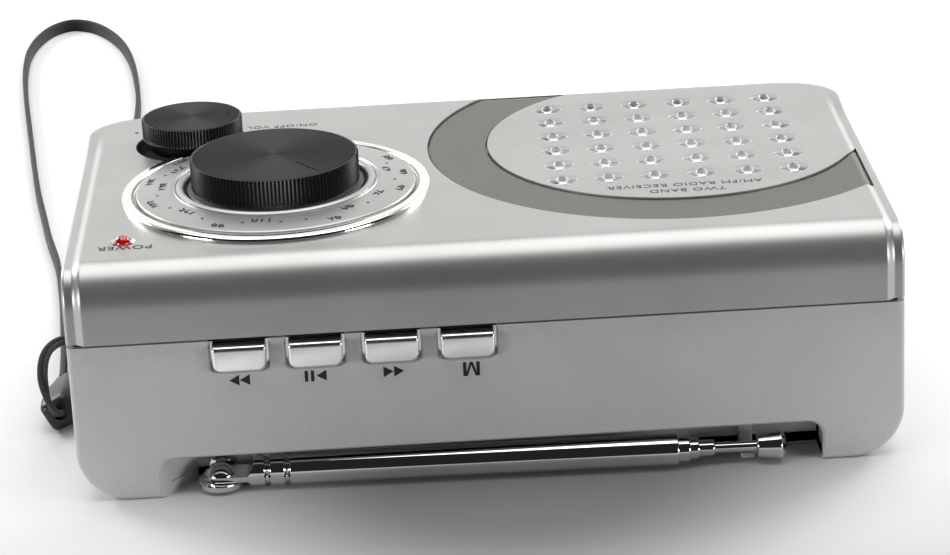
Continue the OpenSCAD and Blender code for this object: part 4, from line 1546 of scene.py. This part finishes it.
    def pockets(self, screws: Sequence[tuple[float, float]], bar: np.ndarray) -> None:
        """Makes the walls behind the openings: channel, battery bay, strap pocket and screw wells.

        Args:
            screws: middles of the case screws.
            bar: middle of the strap's bar.
        """
        self.channel_walls()
        self.clip()
        t = self.plate
        low, high = node_box("battery_contacts")
        bay = ((low[0] - 0.1, self.bay_near), (high[0] + 0.1, self.bay_far))
        inner, outer = round_box(*bay, 1.0), round_box(np.subtract(bay[0], t), np.add(bay[1], (t, 0.1)), 1.0)
        tub = stack([inner, inner, outer, outer], [18.5, 1.9, 1.9, 20.0], Axis.Z)
        make(tub, "battery_bay", Body.CASE, GREY_LACQUER, sharp=30)
        rings = []
        for grow, radius in ((0.0, 1.0), (1.0, 1.5)):
            reach = np.array([self.pocket_half, 3.25]) + grow
            rings += [round_box(bar[1:] - reach, bar[1:] + reach, radius)] * 2
        pocket = stack(rings, np.array([4.2, 0.7, 0.7, 5.2]) - self.half_w, Axis.X)
        make(pocket, "strap_pocket", Body.CASE, GREY_LACQUER, sharp=30)
        well = np.array([[0, 6.0], [2.9, 6.0], [2.9, 0.6], [3.9, 0.6], [3.9, 7.2], [0, 7.2]])
        wells = Shape.joined([lathe(well, 48).moved(*place) for place in screws])
        make(wells, "screw_wells", Body.CASE, GREY_LACQUER)
        self.screws(screws)

    def channel_walls(self) -> None:
        """Makes the aerial's channel: a bent roof and back, the slanting left wall and the right wall."""
        half, top, back, face = self.channel_half, self.channel_top, self.channel_back, 1.0 - self.half_h
        t = self.plate
        rim, foot = back + t, top + t
        roof = np.array([[face, top], [back, top], [back, 0.3], [rim, 0.3], [rim, foot], [face, foot]])
        left = np.array([[-1.5, face], [0.2, face], [6.2, back], [6.2, rim], [-1.5, rim]]) - [half, 0]
        right = np.array([[half, face], [half + t, face], [half + t, rim], [half, rim]])
        walls = [prism(roof, -half, half, Axis.X)]
        walls += [prism(end, 0.3, foot, Axis.Z) for end in (left, right)]
        make(Shape.joined(walls), "aerial_channel", Body.CASE, GREY_LACQUER, sharp=30)

    def clip(self) -> None:
        """The small shelf and rib that hold the aerial's end in its channel."""
        back, start, end = self.channel_back, self.clip_from, self.clip_to
        shelf = round_box((start, back - 6.2), (end, back + 0.5), [0.4, 0.1, 0.1, 0.4])
        rib = round_box((start, back - 0.9), (end, back + 0.5), 0.3)
        parts = [prism(shelf, 0.3, 1.1, Axis.Z), prism(rib, 1.0, self.channel_top + 0.4, Axis.Z)]
        make(Shape.joined(parts), "aerial_clip", Body.CASE, GREY_LACQUER, sharp=30)

    def screws(self, places: Sequence[tuple[float, float]]) -> None:
        """Pan-head screws with a cross recess, deep in their wells.

        Args:
            places: their middles.
        """
        rim = arc((1.9, 4.7), 0.7, 270, 180, 5)[::-1]
        head = outline([[0, 4.0], rim, [2.6, 6.0], [1.25, 6.0], [1.25, 37.0], [0, 37.0]])
        shafts = Shape.joined([lathe(head, 32).moved(*p) for p in places])
        cutters = []
        for long, wide in ((1.4, 0.3), (0.3, 1.4)):
            bars = [block((x - long, y - wide, 3.0), (x + long, y + wide, 5.0)) for x, y in places]
            cutters.append(Shape.joined(bars))
        make(shafts, "case_screw_set", Body.CASE, BRIGHT_STEEL, ["case_screws"], cutters)


@dataclass
class BatteryLid:
    """The sliding lid in the back, with a thumb grip of raised bars and an arrow."""

    bars: int = 6

    def build(self) -> None:
        """Makes the lid: a rounded plate whose outer edge is softened, with bars cut into it."""
        low, high = node_box("battery_door")
        rings = []
        for inset in (0.35, 0.1, 0.0, 0.0):
            corners = (low[0] + inset, low[1] + inset), (high[0] - inset, high[1])
            rings.append(round_box(*corners, [0.3, 0.2, 1.0, 1.0]))
        shape = stack(rings, [0.0, 0.1, 0.35, high[2]], Axis.Z)
        middle = (low[0] + high[0]) / 2
        cutters = []
        for i in range(self.bars):
            y = high[1] - 4.0 - 1.9 * i
            half = 8.0 - 0.5 * i
            bar = round_box((middle - half, y - 0.45), (middle + half, y + 0.45), 0.44)
            cutters.append(prism(bar, -1, 0.7, Axis.Z))
        y = high[1] - 19.0
        arrow = np.array([[middle - 4, y], [middle + 4, y], [middle, y + 4]])
        cutters.append(prism(arrow, -1, 0.5, Axis.Z))
        cutter = Shape.joined(cutters)
        make(shape, "battery_lid_plate", Body.LID, GREY_LACQUER, ["battery_door"], [cutter], 30, True)


# ---- controls ----


@dataclass
class Keys:
    """The four chrome keys: a flat face, soft sides and a wide bevel along the top edge."""

    names: tuple[str, ...] = ("rewind_button", "play_button", "forward_button", "mode_button")
    bodies: tuple[Body, ...] = (Body.REWIND, Body.PLAY, Body.FORWARD, Body.MODE)
    flange: float = 1.4
    flange_low: float = 1.0
    flange_high: float = 0.3
    mark_height: float = 22.25

    def boxes(self) -> list[tuple[np.ndarray, np.ndarray]]:
        """Corners of each key's cap: its node's box less the flange behind the wall."""
        found = []
        for name in self.names:
            low, high = node_box(name)
            found.append((low + [self.flange, 0, self.flange_low], high - [self.flange, 0, self.flange_high]))
        return found

    def build(self) -> None:
        """Makes the four keys and the marks under them."""
        for name, body, (low, high) in zip(self.names, self.bodies, self.boxes()):
            rings = []
            for side, crown in ((0.5, 0.9), (0.32, 0.68), (0.12, 0.4), (0.0, 0.2), (0.0, 0.0), (0.0, 0.0)):
                corners = (low[0] + side, low[2] + side), (high[0] - side, high[2] - crown)
                rings.append(round_box(*corners, [1.5 - side, 0.35, 0.35, 1.5 - side]))
            heights = np.array([0, 0.04, 0.16, 0.4, 0.75, 3.9]) + low[1]
            cap = stack(rings, heights, Axis.Y)
            box_low, box_high = node_box(name)
            foot = round_box((box_low[0], box_low[2]), (box_high[0], box_high[2]), 0.4)
            flange = prism(foot, box_high[1] - 1.1, box_high[1], Axis.Y)
            make(Shape.joined([cap, flange]), name + "_cap", body, PLATED_KEY, [name], sharp=40)
        self.marks()

    def marks(self) -> None:
        """Prints a mark under each key: two triangles, two bars and a triangle, two triangles, and an M."""
        face = -node_box("rear_cover")[1][1]
        first, second, third, last = ((low[0] + high[0]) / 2 for low, high in self.boxes())
        z = self.mark_height
        left = np.array([[-0.95, 0.0], [0.85, -1.05], [0.85, 1.05]])
        right = left[::-1] * [-1, 1]
        bar = np.array([[-0.3, -1.05], [0.3, -1.05], [0.3, 1.05], [-0.3, 1.05]])
        marks = [
            (left, first - 1.15), (left, first + 0.75),
            (bar, second - 1.9), (bar, second - 0.8), (left, second + 0.85),
            (right, third - 0.85), (right, third + 1.05),
        ]
        plans = [mark + [x, z] for mark, x in marks]
        legs = [[-1.5, -1.35], [-0.9, -1.35], [-0.9, 0.6], [-0.25, -1.35]]
        legs += [[0.25, -1.35], [0.9, 0.6], [0.9, -1.35], [1.5, -1.35]]
        letter = np.array(legs + [[1.5, 1.35], [0.7, 1.35], [0, -0.75], [-0.7, 1.35], [-1.5, 1.35]])
        plans.append([last + 0.45, z - 0.4] - letter)
        parts = [prism(plan, face - 0.03, face + 0.1, Axis.Y) for plan in plans]
        make(Shape.joined(parts), "key_marks", Body.CASE, BLACK_INK, sharp=20)


@dataclass
class Dial:
    """The chrome ring and the silver plate with its two rings of numbers round the tuning knob.

    fm and am have a number and the angle where it stands, and dots has angles; all are in degrees from +X.
    """

    fm: tuple = ((88, 28), (90, 6), (92, -16), (96, -63), (99, -115), (103, -160), (105, 169), (108, 140))
    am: tuple = (
        (53, 48), (62, 11), (76, -26), (90, -51), (110, -96), (125, -139), (138, 178), (154, 152), (160, 126),
    )
    dots: tuple = (20, -5, -40, -75, -87, -105, -126, -150, -170, 160, 145)
    fm_radius: float = 23.7
    am_radius: float = 20.8
    dot_radius: float = 22.3
    figure: float = 2.0
    groove_radius: float = 19.0
    well_radius: float = 17.2

    def __post_init__(self) -> None:
        """Reads the dial's place and size from the frame."""
        low, high = node_box("dial_plate")
        self.middle = node_middle("dial_plate")[:2]
        self.radius = float(high[0] - low[0]) / 2
        self.base, self.top = float(low[2]), float(high[2])
        low, high = node_box("dial_ring")
        self.ring_radius = float(high[0] - low[0]) / 2
        self.ring_top = float(high[2])

    def plate_height(self, r: float) -> float:
        """Height of the plate's gentle cone at a radius."""
        edge = self.radius - 0.7
        return self.top - 0.62 * (r - self.well_radius - 0.7) / (edge - self.well_radius - 0.7)

    def build(self, shell: FrontShell) -> None:
        """Makes the ring, the plate, the floor of the knob's well and the print.

        Args:
            shell: the front cover, whose round well cuts into the ring.
        """
        b, r = self.base, self.ring_radius
        inner = self.radius + 0.32
        ring = outline([
            [inner, b], [r, b], [r, b + 0.25], arc((r - 0.7, b + 0.25), 0.7, 0, 90, 7),
            [inner + 1.3, self.ring_top], arc((inner + 0.75, self.ring_top - 0.5), 0.5, 90, 180, 6),
            [inner, b + 0.35],
        ])
        well = rod(shell.well, shell.well_radius, b - 1, b + 4, Axis.Z, 96)
        piece = lathe(ring, 160, True).moved(*self.middle)
        make(piece, "chrome_dial_ring", Body.CASE, PLATED_RING, ["dial_ring"], [well], 40)
        plate = lathe(self.plate_profile(), 160, True).moved(*self.middle)
        make(plate, "silver_dial_plate", Body.CASE, SILVER_LACQUER, ["dial_plate"], sharp=28)
        w = self.well_radius
        floor = np.array([[5, b + 0.46], [w - 0.05, b + 0.46], [w - 0.05, b + 0.52], [5, b + 0.52]])
        make(lathe(floor, 96, True).moved(*self.middle), "dial_well_floor", Body.CASE, WELL_SHADE_BLACK)
        self.print_scale()

    def plate_profile(self) -> np.ndarray:
        """The plate's outline: a rounded rim, the cone with two fine grooves, and a bead round the well.

        Returns:
            Rows of radius and height.
        """
        b, edge, w, g = self.base, self.radius, self.well_radius, self.groove_radius
        level = self.plate_height(g)
        sunk = level - 0.16
        return outline([
            [5, b], [edge, b], [edge, b + 0.7], arc((edge - 0.45, b + 0.75), 0.45, 0, 80, 6),
            [edge - 0.9, self.plate_height(edge - 0.9)], [g + 0.55, self.plate_height(g + 0.55)],
            [g + 0.42, sunk], [g + 0.28, sunk], [g + 0.16, level], [g - 0.1, level], [g - 0.22, sunk],
            [g - 0.36, sunk], [g - 0.48, self.plate_height(g - 0.4)], [w + 1.5, self.plate_height(w + 1.5)],
            arc((w + 0.7, self.top - 0.45), 0.68, 50, 180, 10), [w, b + 0.45], [5, b + 0.45],
        ])

    def print_scale(self) -> None:
        """Prints the numbers, whose tops point outwards, and the dots between the two rings."""
        parts = []
        for numbers, radius in ((self.fm, self.fm_radius), (self.am, self.am_radius)):
            z = self.plate_height(radius) + Print.LIFT
            for number, angle in numbers:
                place = (*(self.middle + radius * np.array(compass(angle))), z)
                parts.append(lettering(str(number), self.figure, 0.02).mapped(turned(angle - 90), place))
        z = self.plate_height(self.dot_radius)
        for angle in self.dots:
            place = self.middle + self.dot_radius * np.array(compass(angle))
            parts.append(rod(place, 0.28, z - 0.1, z + 0.03, Axis.Z, 12))
        make(Shape.joined(parts), "dial_print", Body.CASE, BLACK_INK, sharp=20)


@dataclass
class Knob:
    """A turned knob: a smooth foot, a ribbed grip and a spun metal cap with a mark.

    The grip's radius is that of the round, less the rib depth where a cosine, one wave to a rib, falls.
    foot has rows of radius and height. The mark is a line at mark_angle, from one radius to another.
    """

    node: str
    body: Body
    ribs: int
    rib_depth: float
    rib_base: float
    foot: tuple[tuple[float, float], ...]
    mark_angle: float
    mark_from: float
    mark_to: float
    mark_half: float = 0.22

    def build(self) -> None:
        """Makes the grip, the cap and the mark."""
        low, high = node_box(self.node)
        middle = node_middle(self.node)[:2]
        top = high[2]
        grip = self.grip_radius(low, high)
        rows = [(0, self.foot[0][1]), *self.foot]
        amplitude = [0.0] * len(rows) + [0.0, 0.6, 1.0, 1.0, 0.6, 0.0, 0.0, 0.0]
        heights = (self.rib_base, self.rib_base + 0.25, self.rib_base + 0.6, top - 0.3)
        rows += [(grip, z) for z in heights]
        rows += [(grip - 0.12, top - 0.1), (grip - 0.45, top - 0.04)]
        rows += [(grip - 0.5, top - 0.12), (0, top - 0.12)]
        a = np.linspace(0, 2 * np.pi, self.ribs * 6, endpoint=False)
        profile = np.array(rows)
        wave = 0.5 - 0.5 * np.cos(a * self.ribs)
        r = profile[:, :1] - self.rib_depth * np.array(amplitude)[:, None] * wave
        rings = np.stack([r * np.cos(a), r * np.sin(a), profile[:, 1:] + 0 * a], -1)
        make(loft(rings).moved(*middle), self.node + "_grip", self.body, KNOB_BLACK, [self.node], sharp=50)
        self.cap(middle, grip - 0.46, top)

    def grip_radius(self, low: np.ndarray, high: np.ndarray) -> float:
        """Radius of the grip: the widest of the node, or that over its flange."""
        widest = float(high[0] - low[0]) / 2
        flange = max(r for r, _ in self.foot)
        return widest if flange < widest - 0.01 else widest - 0.85

    def cap(self, middle: np.ndarray, radius: float, top: float) -> None:
        """The spun disc in the knob's top, with its mark cut in.

        Args:
            middle: the knob's axis.
            radius: the disc's radius.
            top: height of the knob's top.
        """
        rings = np.concatenate([[radius], np.linspace(radius - 0.15, 0.15, 36), [0]])
        z = np.concatenate([[top - 0.1], np.full(37, top)])
        profile = np.concatenate([[[0, top - 0.5], [radius, top - 0.5]], np.stack([rings, z], -1)])
        disc = lathe(profile, 128).moved(*middle)
        turn = turned(self.mark_angle)
        length = self.mark_to - self.mark_from
        half = self.mark_half
        line = round_box((self.mark_from, -half), (self.mark_to, half), 0.2 if length > 1 else 0.21, 5)
        cutter = prism(line, top - 0.25, top + 1, Axis.Z).mapped(turn, (middle[0], middle[1], 0))
        make(disc, self.node + "_cap", self.body, SPUN_CAP, (), [cutter], 30)


@dataclass
class Lamp:
    """The red power lamp in its bright countersunk hole."""

    radius: float = 1.5

    def build(self) -> None:
        """Makes the lamp: a dome of clear red epoxy on a round body."""
        middle = node_middle("power_lamp")[:2]
        r = self.radius
        z = node_box("power_lamp")[1][2] - r
        profile = outline([[0, z - 3.4], [r, z - 3.4], arc((0, z), r, 0, 90, 14)])
        make(lathe(profile, 40).moved(*middle), "power_lamp_dome", Body.CASE, RED_EPOXY, ["power_lamp"])


@dataclass
class FacePrint:
    """Plain words printed on the front face; they read with the key side up.

    Each row has the text, its height, its middle in X and Y, and how much its strokes are widened.
    """

    words: tuple = (
        ("POWER", 1.95, -63.9, -34.8, 0.035), ("AM/FM RADIO RECEIVER", 1.75, 38.7, -17.4, 0.0),
        ("TWO BAND", 1.75, 38.9, -20.6, 0.0), ("ON/OFF VOL", 1.6, -36.4, 31.2, 0.0),
    )

    def build(self, shell: FrontShell) -> None:
        """Prints the words and the dot beside the volume knob."""
        z = shell.top + shell.step
        parts = []
        for text, height, x, y, bold in self.words:
            parts.append(lettering(text, height, bold, 1.12).mapped(turned(180), (x, y, z + Print.LIFT)))
        parts.append(rod((shell.well[0] - 11.6, shell.well[1] + 8.8), 0.4, z - 0.1, z + 0.03, Axis.Z, 16))
        make(Shape.joined(parts), "face_print", Body.CASE, BLACK_INK, sharp=20)


# ---- aerial ----


@dataclass
class Aerial:
    """The telescopic aerial: a half-lap root on a rivet, four tubes, a rod and a tip, along its own line.

    radii, starts and ends belong to the tubes and the rod in order; ends count from the first tube's end.
    """

    lean: float = 1.4
    radii: tuple[float, ...] = (3.0, 2.5, 2.0, 1.5, 1.0)
    starts: tuple[float, ...] = (0.0, 13.0, 16.0, 19.0, 22.0)
    wall: float = 0.42
    tube_end: float = 83.3
    ends: tuple[float, ...] = (0.0, 2.1, 3.8, 6.6, 14.8)
    grooves: tuple[float, float] = (8.6, 12.2)
    lip: float = 0.35
    tongue: float = 1.08

    def __post_init__(self) -> None:
        """Reads the rivet's place from the frame."""
        self.pivot = node_middle("aerial_rivet")[:2]
        self.axis_z = float(node_middle("aerial_tube_2")[2])
        self.turn = turned(-self.lean)
        self.origin = (self.pivot[0], self.pivot[1], self.axis_z)

    def along(self, shape: Shape) -> Shape:
        """A shape made round Z laid along the aerial: its Z becomes the aerial's line."""
        lay = self.turn @ np.array([[0, 0, 1], [0, 1, 0], [-1, 0, 0.0]])
        return shape.mapped(lay, self.origin)

    def build(self) -> None:
        """Makes every piece of the aerial."""
        self.first_tube()
        bodies = (Body.TUBE_2, Body.TUBE_3, Body.TUBE_4)
        for i, body in enumerate(bodies, start=1):
            tube = self.along(self.tube(i))
            make(tube, f"aerial_section_{i + 1}", body, PLATED_TUBE, [f"aerial_tube_{i + 1}"], sharp=50)
        self.rod_and_tip()
        self.hinge()

    def tube(self, i: int) -> Shape:
        """One drawn tube with a rolled lip at its open end.

        Args:
            i: which tube, where 0 is the outermost.
        Returns:
            The tube, round Z.
        """
        r, start, end = self.radii[i], self.starts[i], self.tube_end + self.ends[i]
        lip, bore = self.lip, r - self.wall
        profile = outline([
            [0, start], [r - 0.2, start], [r, start + 0.2], [r, end - lip - 0.5], [r, end - lip - 0.1],
            arc((r - lip, end - lip), lip, 0, 90, 7), [bore, end - 0.05], [bore, start + 2], [0, start + 2],
        ])
        return lathe(profile, 56)

    def first_tube(self) -> None:
        """The outermost tube: a circle carried along the line, pressed flat on both sides into a tongue.

        The press lets go in a smooth curve at the shoulder, two rolled grooves go round the tube, and each
        has a row of punched pits.
        """
        r, end = self.radii[0], self.tube_end
        marks, counts = (-r, 0, 4, 7.4, 13.6, end - self.lip), (14, 8, 30, 90, 24)
        spans = [np.linspace(a, b, count) for a, b, count in zip(marks, marks[1:], counts)]
        s = np.unique(np.round(np.concatenate(spans), 4))
        a = np.linspace(0, 2 * np.pi, 128, endpoint=False)
        sa, aa = s[:, None], a[None, :]
        radius = r - self.groove_depth(sa, aa)
        wide = np.where(sa < 0, np.sqrt(np.maximum(r**2 - sa**2, 0)) / r, 1.0)
        lift = ease((sa - 4.9) / 1.7)
        high, low = r * lift, -self.tongue - (r - self.tongue) * ease((sa - 5.0) / 0.9)
        y = radius * np.cos(aa) * wide
        z = np.clip(radius * np.sin(aa), low, high)
        rings = np.stack([sa + 0 * aa, y, z], -1)
        lip = arc((r - self.lip, end - self.lip), self.lip, 0, 90, 7)
        tail = np.concatenate([lip, [[r - self.wall, end - 0.05], [r - self.wall, 14.0]]])
        tail_rings = np.stack([tail[:, 1:] + 0 * aa, tail[:, :1] * np.cos(aa), tail[:, :1] * np.sin(aa)], -1)
        shape = loft(np.concatenate([rings, tail_rings])).mapped(self.turn, self.origin)
        make(shape, "aerial_section_1", Body.TUBE_1, PLATED_TUBE, ["aerial_tube_1"], sharp=50)

    def groove_depth(self, s: np.ndarray, a: np.ndarray) -> np.ndarray:
        """Depth of the rolled grooves and of their punched pits.

        Args:
            s: distance along the aerial.
            a: angle round it.
        Returns:
            How far the surface lies under the round.
        """
        depth = 0 * s * a
        for at in self.grooves:
            depth = depth + 0.42 * np.exp(-(((s - at) / 0.42) ** 4))
            for degrees in (-60, 20, 100, 180, 260):
                away = (np.mod(a - math.radians(degrees) + np.pi, 2 * np.pi) - np.pi) * self.radii[0]
                depth = depth + 0.6 * np.exp(-((np.hypot(s - at, away) / 0.5) ** 4))
        return depth

    def rod_and_tip(self) -> None:
        """The inner rod and its tip: a cone with a hollow behind and a domed end."""
        r, start, end = self.radii[4], self.starts[4], self.tube_end + self.ends[4]
        profile = outline([[0, start], [r, start], [r, end], [0, end]])
        inner = self.along(lathe(profile, 48))
        make(inner, "aerial_inner_rod", Body.ROD, PLATED_TUBE, ["aerial_rod"], sharp=50)
        s = end - 0.5
        tip = outline([
            [r - 0.1, s + 0.9], [1.5, s + 0.35], [1.85, s + 0.02], arc((1.95, s + 0.3), 0.28, -90, 0, 5),
            [2.6, s + 3.9], arc((2.36, s + 4.2), 0.35, 0, 70, 5), [2.0, s + 4.95], [1.3, s + 5.35],
            [0.65, s + 5.54], [0, s + 5.6], [0, s + 0.9],
        ])
        make(self.along(lathe(tip, 64)), "aerial_tip_cone", Body.ROD, PLATED_TUBE, ["aerial_tip"], sharp=40)

    def hinge(self) -> None:
        """The swivel with its flat lug, and the domed rivet through the lap."""
        x, y = self.pivot
        z0, z1 = 0.6, 1.88
        washer = np.array([[1.05, z0], [4.0, z0], [4.2, z0 + 0.2], [4.2, z1 - 0.2], [4.0, z1], [1.05, z1]])
        flat = lathe(washer, 64, True).moved(x, y)
        arm = prism(round_box((x - 2.0, y + 3.6), (x + 2.0, -37.7), 0.2), z0 + 0.02, z1 - 0.02, Axis.Z)
        turn = np.array([[1, 0, 0], [0, 0, 1], [0, -1, 0.0]])
        nut = node_box("aerial_swivel")[1][1]
        barrel = outline([
            [0, -38.1], [2.1, -38.1], [2.3, -37.95], [2.3, -37.45], [1.55, -37.4], [1.55, nut - 1.3],
            [1.9, nut - 1.3], [1.9, nut], [0, nut],
        ])
        swivel = Shape.joined([flat, arm, lathe(barrel, 48).mapped(turn, (x, 0, 2.4))])
        make(swivel, "aerial_swivel_lug", Body.SWIVEL, PLATED_TUBE, ["aerial_swivel"], sharp=40)
        low, high = node_box("aerial_rivet")
        base, top, axis = low[2], high[2], self.axis_z
        dome = outline([
            [0, base], [1.5, base], [1.7, base + 0.15], [1.7, 0.58], [1.0, 0.58], [1.0, axis + 0.02],
            [2.55, axis + 0.02], [2.58, axis + 0.2], [2.3, axis + 0.55], [1.8, axis + 1.0],
            [1.2, top - 0.18], [0.6, top - 0.04], [0, top],
        ])
        rivet = lathe(dome, 64).moved(x, y)
        make(rivet, "aerial_rivet_dome", Body.SWIVEL, PLATED_TUBE, ["aerial_rivet"], sharp=45)


def knobs() -> list[Knob]:
    """The tuning knob and the volume knob."""
    low, high = node_box("tuning_knob")
    base, flange = float(low[2]), float(high[0] - low[0]) / 2
    foot = ((flange - 0.2, base), (flange, base + 0.2), (flange, base + 0.65), (flange - 0.3, base + 0.9))
    tuning = Knob(
        "tuning_knob", Body.TUNING, ribs=132, rib_depth=0.34, rib_base=base + 0.95, foot=foot,
        mark_angle=-54, mark_from=7.1, mark_to=14.4,
    )
    low, high = node_box("volume_knob")
    base, grip = float(low[2]), float(high[0] - low[0]) / 2
    foot = ((8.3, base), (8.55, base + 0.3), (8.6, base + 1.9), (grip - 0.25, base + 2.15))
    volume = Knob(
        "volume_knob", Body.VOLUME, ribs=96, rib_depth=0.26, rib_base=base + 2.5, foot=foot,
        mark_angle=5, mark_from=7.0, mark_to=7.6,
    )
    return [tuning, volume]


def main() -> None:
    """Builds the studio and the radio, piece by piece."""
    logging.basicConfig(level=logging.INFO, format="%(message)s")
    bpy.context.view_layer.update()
    Studio().build()
    WristStrap().build()
    grille, keys, shell = Grille(), Keys(), FrontShell()
    shell.build(grille)
    grille.build(shell.top + shell.step)
    RearShell().build(keys)
    BatteryLid().build()
    keys.build()
    Dial().build(shell)
    for knob in knobs():
        knob.build()
    Lamp().build()
    FacePrint().build(shell)
    Aerial().build()
    dress_nodes()
    bpy.context.view_layer.update()


if __name__ == "__main__":
    main()
